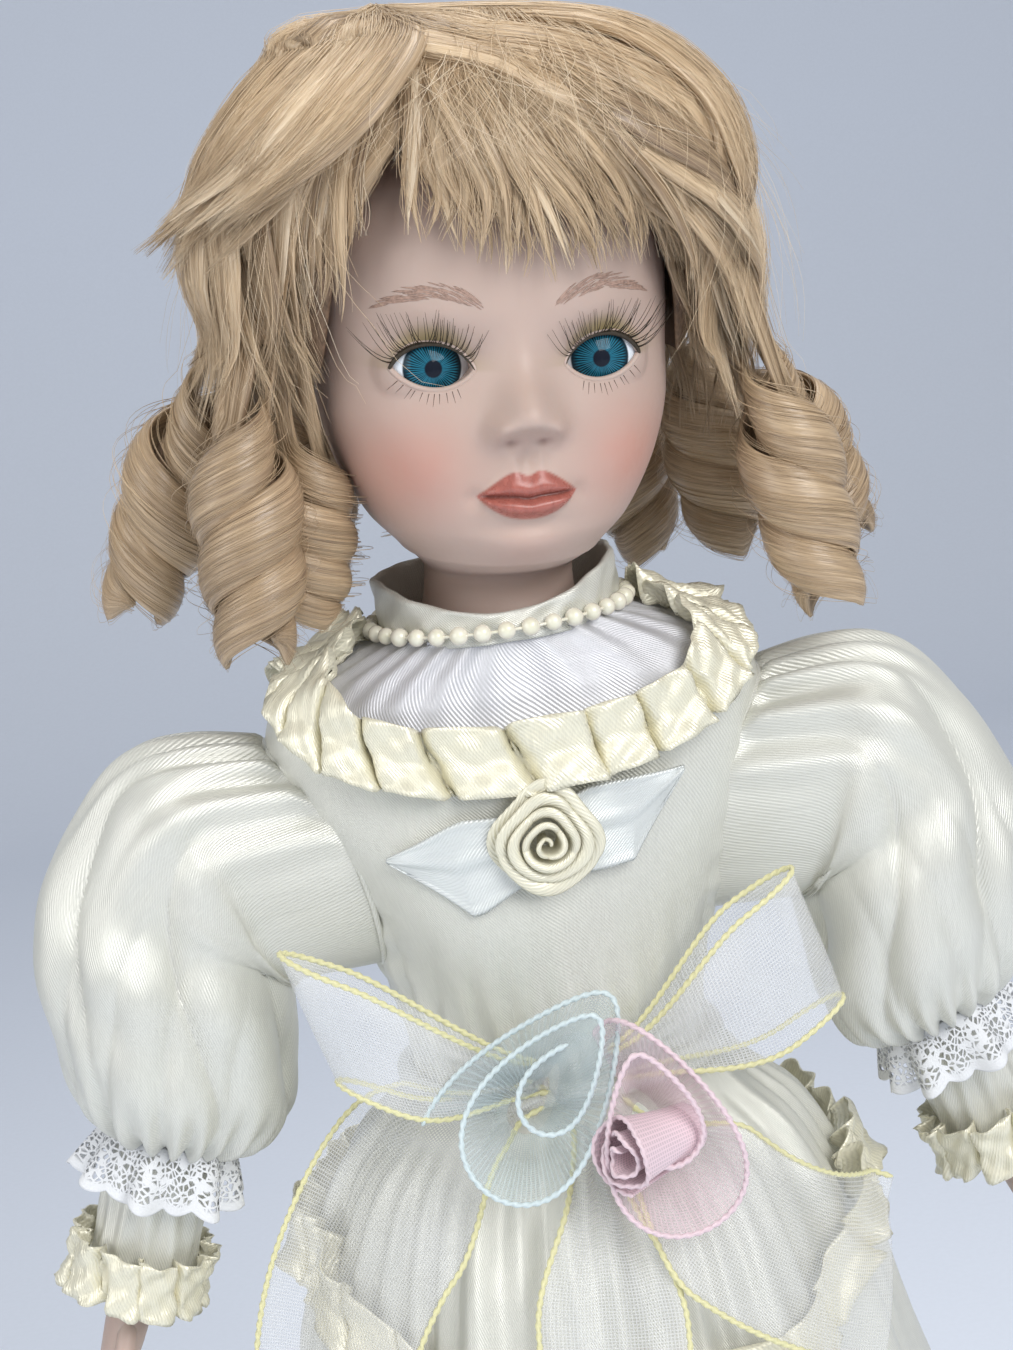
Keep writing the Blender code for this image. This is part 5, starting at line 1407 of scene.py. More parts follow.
def make_skirt(satin):
    angle = turn(432)[None]
    share = shares(110)[:, None]
    hem_z, top_z = 0.0150, 0.2668
    z = hem_z + (top_z - hem_z) * share
    gathers = 0.0009 * smooth(0.70, 0.93, share) * np.sin(42 * angle + 1.5 * np.sin(5 * angle))
    soft = 0.0016 * np.sin(7 * angle + 3 * share) + 0.0013 * np.sin(17 * angle - 2 * share)
    limit = 1 - smooth(0.92, 1.0, share)
    rows = off_surface(skirt_plain, angle, z, 0.0006 + gathers * limit + soft * (1 - share) ** 0.5)
    add_cloth(
        "satin_skirt", rows, "torso", satin, "skirt", 0.0007,
        offset=-1.0,
    )
    angle = turn(144)
    path = off_surface(torso_plain, angle, 0.2674, 0.0028 + 0.0002 * np.sin(9 * angle))
    add_tube("waist_piping", path, 0.0021, 12, "torso", satin, (0.0, 0.0, 1.0))


# Sleeves and arms
BACKWARD = np.array([0.0, 1.0, 0.0])


def arm_axes(side, sign):
    spread = ARM_SPREAD[side]
    down = np.array([sign * math.sin(spread), 0.0, -math.cos(spread)])
    out = np.array([sign * math.cos(spread), 0.0, math.sin(spread)])
    return np.array([sign * SHOULDER_X, 0.0, SHOULDER_Z]), down, out


def arm_rows(side, sign, along, angle, wide, deep=None, shift=0.0):
    """Points round the arm at distances along it, all given as arrays that fit together."""
    pivot, down, out = arm_axes(side, sign)
    deep = wide if deep is None else deep
    along, angle, wide, deep, shift = np.broadcast_arrays(along, angle, wide, deep, shift)
    sideways = out * (wide * np.cos(angle) + shift)[..., None]
    return pivot + down * along[..., None] + sideways + BACKWARD * (deep * np.sin(angle))[..., None]


def grid_out(rows, sign):
    """Unit vectors out of a ring-shaped grid."""
    around = np.roll(rows, -1, 1) - np.roll(rows, 1, 1)
    along = np.gradient(rows, axis=0)
    return unit(np.cross(around, along)) * sign


def sleeve_rows(side, sign, columns, steps):
    pivot, down, out = arm_axes(side, sign)
    armpit = np.array([sign * 0.0450, 0.0, 0.2960])
    angle = turn(columns)
    cos, sin = np.cos(angle)[:, None], np.sin(angle)[:, None]
    rings = []
    last = np.pi / 2 - ARM_SPREAD[side]
    for k in range(5):
        lean = np.array([sign * math.sin(last * k / 4), 0.0, math.cos(last * k / 4)])
        size = SLEEVE_RADIUS * (0.80 + 0.20 * float(smooth(0.0, 0.5, k / 4)))
        middle = armpit + lean * SLEEVE_RADIUS * (0.90 + 0.025 * k)
        ring = middle + lean * size * cos + BACKWARD * size * 0.92 * sin
        under = smooth(0.15, -1.0, cos[:, 0])
        ring[:, 2] -= SLEEVE_DROP * under * (1.0 - 0.12 * k)
        if k == 0:
            half, deep = through(TORSO_SECTIONS, ring[:, 2])
            share = 1.0 - np.minimum(np.abs(ring[:, 1]) / deep, 0.98) ** TORSO_SQUARENESS
            ring[:, 0] = sign * (half * share ** (1.0 / TORSO_SQUARENESS) + 0.0013)
        rings.append(ring)
    middle = armpit + out * SLEEVE_RADIUS - pivot
    reach, aside = middle @ down, middle @ out
    for share, size in ((0.25, 1.02), (0.5, 1.0), (0.75, 0.93), (0.92, 0.79), (1.0, 0.58)):
        along = reach + (SLEEVE_END + 0.001 - reach) * share
        shift = aside * (1.0 - float(smooth(0.0, 1.0, share)))
        ring = arm_rows(side, sign, along, angle, SLEEVE_RADIUS * size, None, shift)
        slack = SLEEVE_DROP * (1.0 - share) ** 1.5 * smooth(0.15, -1.0, cos)
        rings.append(ring + slack * (0.45 * down - 0.20 * out))
    table = np.concatenate([np.arange(10.0)[:, None], np.array(rings).reshape(10, -1)], 1)
    u = np.linspace(0.0, 9.0, steps)
    return np.stack(through(table, u), -1).reshape(steps, columns, 3), u[:, None], angle[None]


def make_sleeves(satin):
    for side, sign in SIDES:
        rows, u, angle = sleeve_rows(side, sign, 208, 110)
        rng = np.random.default_rng(41 if sign > 0 else 43)
        way = grid_out(rows, -sign)
        upper = smooth(-0.3, 0.7, np.cos(angle))
        length = 3.4 + 1.1 * np.sin(5 * angle + 1.0) + 0.8 * np.sin(9 * angle + rng.uniform(0, ROUND))
        cap = 0.0015 * (1 - smooth(0.3, length, u)) * smooth(0.0, 0.25, u) * upper
        cap = cap * np.sin(17 * angle + 1.8 * np.sin(3 * angle + 0.5) + 0.4 * u)
        cap = cap + 0.0024 * bump(u, 1.7, 1.1) * upper
        drape = 0.0013 * bump(u, 5.2, 2.6) * np.sin(3 * angle + 0.55 * u + rng.uniform(0, ROUND))
        swing = 3.0 * angle + 0.30 * u + rng.uniform(0, ROUND) + 0.7 * np.sin(angle + 0.5 * u)
        drape = drape + 0.0036 * bump(u, 4.6, 2.7) * (np.abs(np.sin(swing)) ** 0.62 - 0.68)
        swing = 5.5 * angle - 0.42 * u + rng.uniform(0, ROUND) + 0.6 * np.sin(2 * angle - 0.7 * u)
        drape = drape + 0.0015 * bump(u, 6.2, 2.0) * (np.abs(np.sin(swing)) ** 0.7 - 0.64)
        slack = np.sin(2.6 * u + 1.4 * np.sin(2 * angle + 1) + rng.uniform(0, ROUND))
        drape = drape + 0.0007 * bump(u, 5.4, 2.2) * (slack * np.sin(2 * angle + 0.7 * u))
        hem = 0.0012 * smooth(6.2, 8.7, u) * np.sin(23 * angle + np.sin(3 * angle))
        sag = 0.0007 * bump(u, 5.5, 2.5)
        calm = 1 - 0.92 * smooth(-0.1, -0.8, np.cos(angle)) * bump(u, 3.2, 2.0)
        rows = rows + way * ((cap + drape) * calm + hem + sag)[..., None]
        piece = add_cloth(
            side + "_satin_sleeve", rows, None, satin, side + "_sleeve", CLOTH_THICK,
            offset=-1.0, flip=sign > 0,
        )
        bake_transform(piece)
        ring = rows[0] + way[0] * 0.0002
        name = side + "_armhole_piping"
        add_tube(name, ring, 0.00055, 8, "torso", satin, (1.0, 0.0, 0.0))


def make_cuffs(satin, ribbon, lace):
    angle = turn(216)[None]
    share = shares(30)[:, None]
    for side, sign in SIDES:
        body, flip = side + "_arm", sign > 0
        cuff, forearm = side + "_satin_cuff", side + "_forearm"
        crease = 0.00035 * np.sin(13 * angle + 4 * share) + 0.0003 * np.sin(5 * angle - 9 * share)
        along = CUFF_START + (CUFF_END - CUFF_START) * share
        rows = arm_rows(side, sign, along, angle, CUFF_RADIUS + 0.0006 + crease)
        add_cloth(
            cuff, rows, body, satin, side + "_cuff", CLOTH_THICK,
            offset=-1.0, flip=flip,
        )
        scallop = np.abs(np.sin(8 * angle + 0.4)) ** 0.7
        flute = 0.0016 * share * (np.cos(9 * angle + np.sin(2 * angle)) + 0.4 * np.cos(14 * angle))
        radius = CUFF_RADIUS + 0.0022 + 0.0036 * share**0.8 + flute
        rows = arm_rows(side, sign, 0.0566 + (0.0096 + 0.0013 * scallop) * share, angle, radius)
        name, node = side + "_lace_frill", side + "_sleeve_lace"
        frill = add_cloth(name, rows, body, lace, node, 0.0003, flip=flip)
        set_attribute(frill.data, "edge", np.broadcast_to(share, rows.shape[:2]))

        def round_cuff(around, reach, rise):
            return arm_rows(side, sign, CUFF_END - 0.0026 + reach, around, CUFF_RADIUS + 0.0017 + rise)

        rows = ruffle_rows(10, 0.0100, 0.0032, round_cuff, 6 if sign > 0 else 7)
        name, node = side + "_cuff_gathers", side + "_cuff_ruffle"
        add_cloth(name, rows, body, ribbon, node, RIBBON_THICK, flip=flip)


def make_hands(skin):
    """Bisque lower arms whose joined fingers are marked by grooves, with a separate thumb."""
    sections = (
        (0.0522, 6.4, 6.4), (0.0620, 6.9, 6.9), (0.0740, 5.7, 5.7), (0.0860, 4.4, 5.2), (0.0920, 4.0, 6.4),
        (0.0980, 3.6, 6.9), (0.1050, 3.0, 6.2), (0.1100, 2.4, 5.0), (0.1126, 1.2, 2.6), (0.1130, 0.3, 0.6),
    )
    finger_width = 0.0033
    angle = turn(96)[None]
    for side, sign in SIDES:
        along = np.concatenate([np.linspace(0.0522, 0.0980, 50), np.linspace(0.0984, 0.1130, 44)])
        wide, deep = (v[:, None] * MM for v in through(sections, along))
        along = along[:, None]
        finger = np.cos(2 * np.pi * deep * np.sin(angle) / finger_width)
        groove = 0.00055 * smooth(0.0975, 0.1015, along) * (finger - 1.0) * 0.5
        tips = 0.0016 * smooth(0.1040, 0.1130, along) * (0.5 - 0.5 * finger)
        rows = arm_rows(side, sign, along - tips, angle, wide + groove * np.sign(wide), deep)
        root = arm_rows(side, sign, 0.0915, -np.pi / 2, 0.0, 0.0045)
        _, down, out = arm_axes(side, sign)
        t = shares(16)[:, None]
        thumb = root + down * 0.0105 * t - BACKWARD * (0.0036 * np.sin(1.7 * t)) - out * 0.0010 * t
        radius = 0.00185 * np.sin(np.linspace(0.6, np.pi - 0.02, 16)) ** 0.45
        hand = rows if sign < 0 else rows[:, ::-1]
        grids = [(hand, True, False), (tube_rows(thumb, radius, 14), True, False)]
        name = side + "_bisque_hand"
        add_piece(name, merged_mesh(name, grids), side + "_arm", skin, [side + "_forearm"])


# Organza bow
BOW_Z = 0.2730
KNOT_RADIUS = 0.0055
RIBBON_HALF = 0.0120
ORGANZA_THICK = 0.00015
# Each tail: its heading at the knot and at its end, its length and how far it lies over the one below
TAILS = (
    ("left_bow_tail", -0.95, -0.45, 0.057, 0.0018),
    ("middle_bow_tail", -1.62, -1.75, 0.070, 0.0),
    ("right_bow_tail", -2.90, -1.48, 0.080, 0.0018),
)


def bow_middle():
    front = off_surface(torso_plain, np.array(-np.pi / 2), np.array(BOW_Z), np.array(0.0021))
    return np.array([0.0, front[1] - KNOT_RADIUS, BOW_Z])


def organza_material(name, colour, cover):
    """Sheer plain weave of stiff shiny thread; the texture place is in metres of cloth."""
    s = Shader(name)
    place = s.cloth_place()
    thread = s.span(s.math("MAXIMUM", s.waves(place, 0, 0.00055), s.waves(place, 1, 0.00055)), 0.0, 0.95)
    cloud = s.noise(place, 60.0, 2.0)
    least = s.span(cloud, 0.3, 0.7, cover - 0.05, cover + 0.05)
    alpha = s.math("MULTIPLY_ADD", thread, 0.22, least, clamp=True)
    tone = s.mix(thread, toned(colour, 0.94), colour)
    s.set(Base_Color=tone, Roughness=0.40, Alpha=alpha, Sheen_Weight=0.25, Specular_IOR_Level=0.6)
    s.bump(thread, 0.12, 0.0001)
    return s.material


def cord_material(name, colour):
    s = Shader(name)
    fleck = s.noise(s.object_place(), 2400.0, 2.0)
    s.set(Base_Color=s.mix(fleck, toned(colour, 0.80), colour), Roughness=0.45, Sheen_Weight=0.2)
    s.bump(fleck, 0.3, 0.0001)
    return s.material


def twisted_rows(path, radius):
    """Rings of a cord of two plies that twist round each other."""
    path = np.asarray(path, float)
    far = np.concatenate([[0.0], np.linalg.norm(np.diff(path, axis=0), axis=1).cumsum()])
    count = max(int(far[-1] / 0.00032), 12)
    even = np.linspace(0.0, far[-1], count)
    fine = np.stack([np.interp(even, far, path[:, k]) for k in range(3)], -1)
    sides = 10
    angle = turn(sides)[None]
    ply = 1.0 + 0.30 * np.cos(2 * angle - even[:, None] * 2 * np.pi / 0.0017)
    end = np.minimum(1.0, np.minimum(even, far[-1] - even) / 0.0005 + 0.05)[:, None]
    return tube_rows(fine, radius * ply * end, sides, start_up=(0.13, 0.98, 0.15))


def add_organza(
    name, rows, material, cord, nodes=(), edges=(0, -1), cord_radius=0.00043
):
    """A sheer ribbon with a twisted cord sewn along the named edges."""
    mesh = grid_mesh(name, rows)
    piece = thicken(add_piece(name, mesh, "torso", material, nodes), ORGANZA_THICK)
    cords = [(twisted_rows(rows[:, k], cord_radius), True, False) for k in edges]
    edge = add_piece(name + "_cord", merged_mesh(name + "_cord", cords), "torso", cord)
    declare_sheet(rows)


def skirt_front(x, z):
    """Y of a ribbon that lies clear of the front of the skirt, or of the bodice above the waist."""
    z = np.asarray(z, float)
    half, depth = through(TORSO_SECTIONS, np.maximum(z, WAIST))
    wide = skirt_plain(np.zeros_like(z), z)[..., 0]
    deep = -skirt_plain(np.full_like(z, -np.pi / 2), z)[..., 1]
    half, depth = np.where(z < WAIST, wide, half), np.where(z < WAIST, deep, depth)
    share = np.minimum(np.abs(x) / (half + 0.0062), 0.93)
    return -(depth + 0.0062) * np.sqrt(1.0 - share**2)


def make_loops(organza, cord):
    middle = bow_middle()
    s = np.linspace(0.0, np.pi, 90)[:, None]
    v = np.linspace(-1.0, 1.0, 25)[None]
    out = np.sin(s) ** 0.8
    start = KNOT_RADIUS + 0.0003
    for side, sign in SIDES:
        half = RIBBON_HALF * (0.2 + 0.8 * smooth(0.0, 0.75, out))
        pleat = 0.0012 * np.sin(7 * v + 1.0) * (1 - smooth(0.15, 0.6, out))
        pleat = pleat + 0.0007 * np.sin(3 * v + 5 * out + sign) * out
        x = sign * (start + (0.0430 - start) * out) - 0.25 * half * v
        open_loop = 0.0080 * np.cos(s) * np.sin(s) ** 0.7 + 0.0008 * np.cos(s)
        y = middle[1] - open_loop + pleat - 0.0010 * (1 - v**2) * out
        z = middle[2] + 0.0170 * out**1.3 + 0.97 * half * v
        rows = np.stack(np.broadcast_arrays(x, y, z), -1)
        name = side + "_organza_loop"
        add_organza(name, rows, organza, cord, [side + "_bow_loop"])


def make_tails(organza, cord):
    middle = bow_middle()
    steps = 90
    t = shares(steps)
    v = np.linspace(-1.0, 1.0, 25)[None]
    for name, heading, last, length, forward in TAILS:
        way = heading + (last - heading) * t
        along = np.stack([np.cos(way), np.zeros(steps), np.sin(way)], -1)
        across = np.stack([-along[:, 2], np.zeros(steps), along[:, 0]], -1)
        begin = middle + along[0] * (KNOT_RADIUS * 1.2 + 0.0009)
        centre = begin + np.concatenate([np.zeros((1, 3)), along[:-1].cumsum(0)]) * length / (steps - 1)
        half = (RIBBON_HALF * (0.20 + 0.80 * smooth(0.0, 0.40, t)))[:, None]
        place = centre[:, None] + across[:, None] * (half * v)[..., None]
        rest = skirt_front(place[..., 0], place[..., 2])
        lift = smooth(0.0, 0.3, t)[:, None]
        pleat = 0.0011 * np.sin(8 * v + 2.0) * (1 - smooth(0.1, 0.5, t))[:, None]
        ripple = 0.0013 * (np.sin(2.6 * v + 5 * t[:, None]) - 1.0) * smooth(0.3, 0.8, t)[:, None]
        place[..., 1] = np.minimum(middle[1] + (rest - middle[1]) * lift, rest) - forward + pleat + ripple
        piece = name.replace("bow", "organza")
        add_organza(piece, place[::-1], organza, cord, [name])


def make_knot(organza):
    shape, polar, around = ball(40, 72)
    crease = 1.0 + 0.07 * np.sin(9 * around + 2 * np.cos(polar)) * np.sin(polar)
    rows = bow_middle() + shape * [1.0, 1.0, 1.2] * (KNOT_RADIUS * crease)[..., None]
    mesh = grid_mesh("organza_knot", rows, ring=True)
    add_piece("organza_knot", mesh, "torso", organza, ["bow_knot"])


def lean_to(facing):
    return np.array(Vector((0.0, 0.0, 1.0)).rotation_difference(Vector(facing)).to_matrix())


def bud_rows(base, facing, radius, turns, height):
    """A ribbon rolled into a bud that opens a little towards its top."""
    share = shares(160)[:, None]
    v = shares(21)[None]
    angle = 2 * np.pi * turns * share
    wide = radius * (0.22 + 0.78 * share) * (0.72 + 0.28 * v**1.5) + 0.00012 * np.sin(5 * angle + 4 * v) * v
    rise = height * (1.0 - 0.10 * share + 0.05 * np.sin(2.2 * angle)) * v
    local = np.stack([wide * np.cos(angle), wide * np.sin(angle), rise], -1)
    return np.asarray(base) + local @ lean_to(facing).T


def swirl_rows(base, facing, long, short, tilt, turns, first, height, start):
    """A ribbon that stands on edge and winds outward in long loops, open towards its free edge."""
    share = shares(300)[:, None]
    v = shares(23)[None]
    angle = start + 2 * np.pi * turns * share
    size = first + (1 - first) * share**0.9
    flare = 0.34 + 0.66 * v**1.1
    lift = 1 - 0.75 * smooth(0.90, 1.0, share)
    # Loops like drops: blunt at one end, drawn together at the other
    x = long * (size * np.cos(angle) * flare + 0.55 * (1 - size) * v)
    y = short * size * np.sin(angle) * (1 - 0.42 * np.cos(angle)) * flare
    wrinkle = 0.0004 * np.sin(3.1 * angle + 5 * v) * v
    x, y = x * math.cos(tilt) - y * math.sin(tilt), x * math.sin(tilt) + y * math.cos(tilt)
    rise = height * v * lift * (1.05 - 0.35 * size + 0.08 * np.sin(1.3 * angle)) + wrinkle
    # The rose's own plane: across to the doll's left, up, and forward along the way it faces
    forward = unit(np.array(facing))
    across = unit(np.cross(forward, [0.0, 0.0, 1.0]))
    up = np.cross(across, forward)
    if across[0] < 0:
        across = -across
    return np.asarray(base) + x[..., None] * across + y[..., None] * up + rise[..., None] * forward


def make_roses(aqua, aqua_cord, pink, pink_bud, pink_cord):
    base = bow_middle() + np.array([-0.0085, -0.0040, -0.0020])
    rows = swirl_rows(base, (-0.12, -0.97, 0.20), 0.0240, 0.0128, 0.85, 2.2, 0.24, 0.0190, 0.9)
    add_organza(
        "aqua_swirl", rows, aqua, aqua_cord, ["aqua_rose"],
        edges=(-1,), cord_radius=0.00040,
    )
    base = bow_middle() + np.array([0.0084, -0.0125, -0.0065])
    rows = swirl_rows(base, (0.10, -0.98, 0.02), 0.0215, 0.0125, 1.75, 1.7, 0.36, 0.0165, 2.4)
    add_organza(
        "pink_swirl", rows, pink, pink_cord, ["pink_rose"],
        edges=(-1,), cord_radius=0.00040,
    )
    rows = bud_rows(base + np.array([0.0062, -0.0065, 0.0010]), (-0.80, -0.58, 0.05), 0.0070, 2.6, 0.0160)
    add_organza(
        "pink_bud", rows, pink_bud, pink_cord,
        edges=(-1,), cord_radius=0.00036,
    )


# Body under the dress
def finish_body():
    """Materials of the parts that keep their own shape."""
    muslin = weave_material("body_muslin", (0.640, 0.560, 0.440))
    skin = bisque_material("limb_bisque")
    card = weave_material("pate_card", (0.380, 0.290, 0.190))
    s = Shader("shoe_leather")
    grain = s.noise(s.object_place(), 700.0, 3.0)
    s.set(Base_Color=s.mix(grain, (0.70, 0.69, 0.65), (0.80, 0.79, 0.76)), Roughness=0.35, Coat_Weight=0.2)
    s.bump(grain, 0.15, 0.0002)
    looks = {"shoulder_plate": skin, "cloth_body": muslin, "pate": card}
    for side, _ in SIDES:
        looks[side + "_upper_arm"] = muslin
        looks[side + "_upper_leg"] = muslin
        looks[side + "_lower_leg"] = skin
        looks[side + "_shoe"] = s.material
    for name, material in looks.items():
        node = bpy.data.objects[name]
        for slot in node.material_slots:
            slot.material = material
        if not node.material_slots:
            node.data.materials.append(material)


# Stage
def make_stage():
    look = bpy.context.scene.doll_stage
    s = Shader("pale_paper")
    grain = s.noise(s.object_place(), 400.0, 2.0)
    tone = look.backdrop
    s.set(Base_Color=s.mix(s.span(grain, 0.3, 0.7), tone, toned(tone, 0.985)), Roughness=0.9)
    reach, depth, rise, bend = 1.6, 1.75, 2.4, 0.45
    profile = [(-reach, 0.0)]
    for angle in np.linspace(0, math.pi / 2, 24):
        profile.append((depth - bend + bend * math.sin(angle), bend - bend * math.cos(angle)))
    profile.append((depth, rise))
    rows = np.array([[(x, y, z) for x in np.linspace(-reach, reach, 9)] for y, z in profile])
    backdrop = bpy.data.objects.new("paper_backdrop", grid_mesh("paper_backdrop", rows))
    bpy.context.scene.collection.objects.link(backdrop)
    backdrop.data.materials.append(s.material)
    world = bpy.data.worlds.new("studio_air")
    world.use_nodes = True
    nodes, links = world.node_tree.nodes, world.node_tree.links
    nodes["Background"].inputs[0].default_value = (0.90, 0.94, 1.0, 1.0)
    nodes["Background"].inputs[1].default_value = look.fill
    # What the camera sees past the paper is as pale as the paper
    seen = nodes.new("ShaderNodeBackground")
    seen.inputs[0].default_value = (*(c * 0.54 for c in look.backdrop), 1.0)
    choice = nodes.new("ShaderNodeMixShader")
    links.new(nodes.new("ShaderNodeLightPath").outputs["Is Camera Ray"], choice.inputs[0])
    links.new(nodes["Background"].outputs[0], choice.inputs[1])
    links.new(seen.outputs[0], choice.inputs[2])
    links.new(choice.outputs[0], nodes["World Output"].inputs[0])
    bpy.context.scene.world = world
    lamps = (
        ("key_light", (0.50, -0.95, 0.95), 0.75, look.key),
        ("side_light", (-0.95, -0.55, 0.70), 0.80, look.key * 0.45),
        ("top_light", (0.05, 0.25, 1.25), 0.60, look.key * 0.40),
    )
    for name, place, size, energy in lamps:
        data = bpy.data.lights.new(name, "AREA")
        data.size = size
        data.energy = energy
        lamp = bpy.data.objects.new(name, data)
        lamp.location = place
        aim = Vector((0.0, 0.0, 0.34)) - Vector(place)
        lamp.rotation_euler = aim.to_track_quat("-Z", "Y").to_euler()
        bpy.context.scene.collection.objects.link(lamp)
    make_camera()


def make_camera():
    look = bpy.context.scene.doll_stage
    data = bpy.data.cameras.new("portrait_camera")
    data.lens = look.lens
    data.sensor_width = 36.0
    data.clip_start = 0.01
    camera = bpy.data.objects.new("portrait_camera", data)
    azimuth, elevation = look.azimuth, look.elevation
    level = math.cos(elevation)
    away = Vector((math.sin(azimuth) * level, -math.cos(azimuth) * level, math.sin(elevation)))
    target = Vector(look.target)
    camera.location = target + away * look.distance
    facing = (-away).to_track_quat("-Z", "Y").to_matrix().to_4x4()
    camera.rotation_euler = (facing @ Matrix.Rotation(look.roll, 4, "Z")).to_euler()
    bpy.context.scene.collection.objects.link(camera)
    bpy.context.scene.camera = camera
    bpy.context.scene.view_settings.view_transform = "Standard"


def colour_property(name, description, default):
    return FloatVectorProperty(
        name=name, description=description, default=default, subtype="COLOR", min=0.0, max=1.0
    )


def angle_property(name, description, degrees):
    return FloatProperty(name=name, description=description, default=math.radians(degrees), subtype="ANGLE")


class DollFace(bpy.types.PropertyGroup):
    """Paint of the bisque face and its eyes."""

    skin: colour_property("Skin", "Tint of the bisque", (0.535, 0.402, 0.342))
    blush: colour_property("Blush", "Colour rubbed on the cheeks", (0.605, 0.280, 0.215))
    lips: colour_property("Lips", "Painted lips", (0.430, 0.138, 0.106))
    eye_shadow: colour_property("Eye shadow", "Paint above the upper lids", (0.262, 0.200, 0.045))
    brow: colour_property("Brows", "Painted brow strokes", (0.490, 0.325, 0.258))
    lash: colour_property("Lashes", "Lashes and lash line", (0.045, 0.030, 0.014))
    iris: colour_property("Iris", "Colour of the eyes", (0.004, 0.090, 0.140))


class DollWig(bpy.types.PropertyGroup):
    """Hair of the wig."""

    # Also the base of the painted shade of the hair under the locks and of the curl cores
    dark: colour_property("Shade", "Darkest strands", (0.205, 0.132, 0.082))
    gold: colour_property("Gold", "Most of the strands", (0.665, 0.495, 0.310))
    light: colour_property("Light", "Lightest strands", (0.945, 0.815, 0.625))
    curl_radius: FloatProperty(
        name="Curl radius", description="Radius of the sausage curls", default=0.0092, unit="LENGTH"
    )


class DollDress(bpy.types.PropertyGroup):
    """Cloth and trims of the dress."""

    ivory: colour_property("Ivory satin", "Bodice, sleeves and skirt", (0.765, 0.762, 0.690))
    white: colour_property("White satin", "Panel over the shoulders", (0.650, 0.650, 0.680))
    cream: colour_property("Cream ribbon", "Gathered ribbon and rose", (0.900, 0.860, 0.680))
    leaf: colour_property("Leaf ribbon", "Leaves beside the rose", (0.775, 0.805, 0.785))
    organza: colour_property("Organza", "Bow at the waist", (0.860, 0.865, 0.860))
    aqua: colour_property("Aqua organza", "Larger rose on the bow", (0.740, 0.850, 0.860))
    pink: colour_property("Pink organza", "Smaller rose on the bow", (0.870, 0.680, 0.725))
    cord: colour_property("Yellow cord", "Edges of the bow", (0.840, 0.800, 0.450))


class DollStage(bpy.types.PropertyGroup):
    """Backdrop, lamps and camera."""

    backdrop: colour_property("Backdrop", "Paper behind the doll", (0.780, 0.825, 0.910))
    fill: FloatProperty(name="Fill light", description="Strength of the even light", default=0.34, min=0.0)
    key: FloatProperty(name="Key light", description="Power of the main lamp in watts", default=11.8, min=0.0)
    lens: FloatProperty(name="Lens", description="Focal length in millimetres", default=65.1, min=10.0)
    distance: FloatProperty(name="Distance", description="Camera to target", default=0.403, unit="LENGTH")
    azimuth: angle_property("Azimuth", "Turn round the doll", -4.8)
    elevation: angle_property("Elevation", "Height angle", 11.1)
    roll: angle_property("Roll", "Roll of the camera", -8.2)
    target: FloatVectorProperty(
        name="Target",
        description="Point at the middle of the picture",
        default=(-0.0019, -0.02, 0.3402),
        subtype="XYZ",
    )


class DOLL_OT_head(bpy.types.Operator):
    """Sculpt the bisque head with its painted face"""

    bl_idname = "doll.head"
    bl_label = "Head"

    def execute(self, context):
        make_head()
        make_eyes()
        make_brows()
        return {"FINISHED"}


class DOLL_OT_wig(bpy.types.Operator):
    """Lay the wig: crown, fringe, ringlets and loose hair"""

    bl_idname = "doll.wig"
    bl_label = "Wig"

    def execute(self, context):
        strands, locks = hair_material(), lock_material()
        make_crown(strands, locks)
        make_fringe(strands, locks)
        make_ringlets(strands, locks, make_cap())
        make_stray_hair(strands, locks)
        return {"FINISHED"}


class DOLL_OT_dress(bpy.types.Operator):
    """Sew the dress with its trims"""

    bl_idname = "doll.dress"
    bl_label = "Dress"

    def execute(self, context):
        look = context.scene.doll_dress
        ivory = satin_material("ivory_satin_cloth", look.ivory)
        white = satin_material("white_satin_cloth", look.white)
        cream = satin_material("cream_ribbon_satin", look.cream, 0.36, 0.0005)
        leaf = satin_material("leaf_ribbon_satin", look.leaf, 0.36, 0.0005)
        make_bodice(ivory)
        make_yoke(white)
        make_collar(ivory)
        make_pearls()
        make_ruffles(cream)
        make_flower(cream, leaf)
        make_skirt(ivory)
        make_sleeves(ivory)
        make_cuffs(ivory, cream, lace_material())
        return {"FINISHED"}


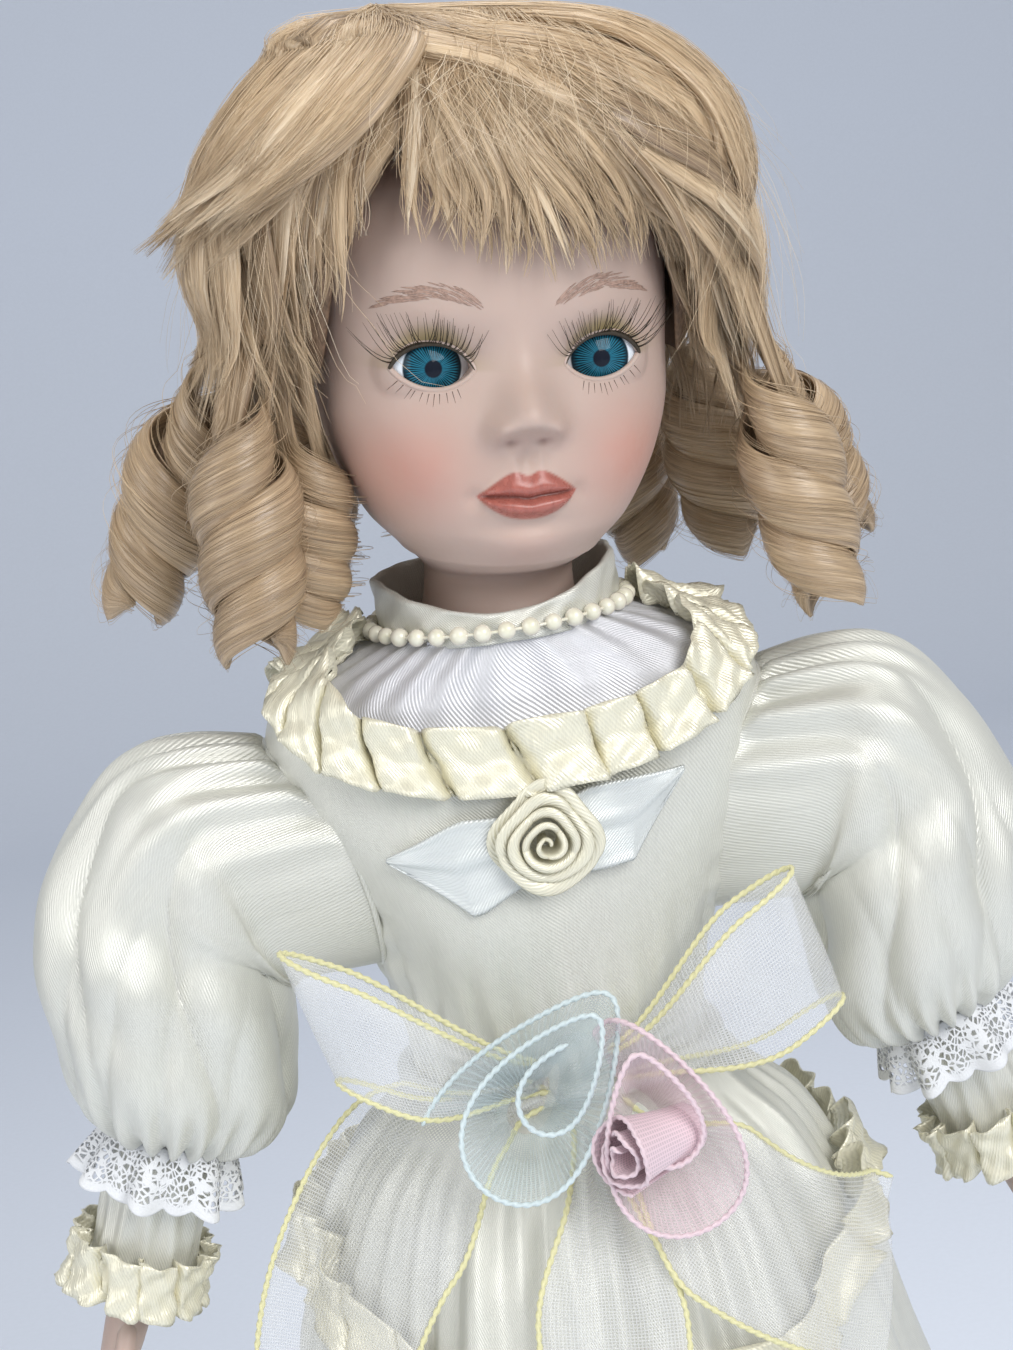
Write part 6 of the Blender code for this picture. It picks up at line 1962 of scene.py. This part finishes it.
class DOLL_OT_bow(bpy.types.Operator):
    """Tie the organza bow with its two roses"""

    bl_idname = "doll.bow"
    bl_label = "Bow"

    def execute(self, context):
        look = context.scene.doll_dress
        organza = organza_material("sheer_organza", look.organza, 0.10)
        yellow = cord_material("yellow_cord", look.cord)
        make_knot(organza)
        make_loops(organza, yellow)
        make_tails(organza, yellow)
        make_roses(
            organza_material("sheer_aqua", look.aqua, 0.09),
            cord_material("aqua_cord", toned(look.aqua, 0.95)),
            organza_material("sheer_pink", look.pink, 0.17),
            organza_material("rolled_pink", look.pink, 0.75),
            cord_material("pink_cord", look.pink),
        )
        return {"FINISHED"}


class DOLL_OT_limbs(bpy.types.Operator):
    """Finish the hands and the body under the dress"""

    bl_idname = "doll.limbs"
    bl_label = "Limbs"

    def execute(self, context):
        make_hands(bisque_material("hand_bisque"))
        finish_body()
        return {"FINISHED"}


class DOLL_OT_stage(bpy.types.Operator):
    """Set the backdrop, lamps and camera"""

    bl_idname = "doll.stage"
    bl_label = "Stage"

    def execute(self, context):
        make_stage()
        return {"FINISHED"}


STEPS = (DOLL_OT_head, DOLL_OT_wig, DOLL_OT_dress, DOLL_OT_bow, DOLL_OT_limbs, DOLL_OT_stage)


class DOLL_PT_panel(bpy.types.Panel):
    bl_idname = "DOLL_PT_panel"
    bl_label = "Porcelain Doll"
    bl_space_type = "VIEW_3D"
    bl_region_type = "UI"
    bl_category = "Doll"

    def draw(self, context):
        for step in STEPS:
            self.layout.operator(step.bl_idname)
        for group in GROUPS:
            settings = getattr(context.scene, group)
            for key in settings.__annotations__:
                self.layout.prop(settings, key)


GROUPS = {"doll_face": DollFace, "doll_wig": DollWig, "doll_dress": DollDress, "doll_stage": DollStage}


def register():
    for group in GROUPS.values():
        bpy.utils.register_class(group)
    for name, group in GROUPS.items():
        setattr(bpy.types.Scene, name, PointerProperty(type=group))
    for step in STEPS:
        bpy.utils.register_class(step)
    bpy.utils.register_class(DOLL_PT_panel)


def unregister():
    bpy.utils.unregister_class(DOLL_PT_panel)
    for step in reversed(STEPS):
        bpy.utils.unregister_class(step)
    for name, group in reversed(GROUPS.items()):
        delattr(bpy.types.Scene, name)
        bpy.utils.unregister_class(group)


def main():
    register()
    for step in STEPS:
        area, name = step.bl_idname.split(".")
        getattr(getattr(bpy.ops, area), name)()


if __name__ == "__main__":
    main()
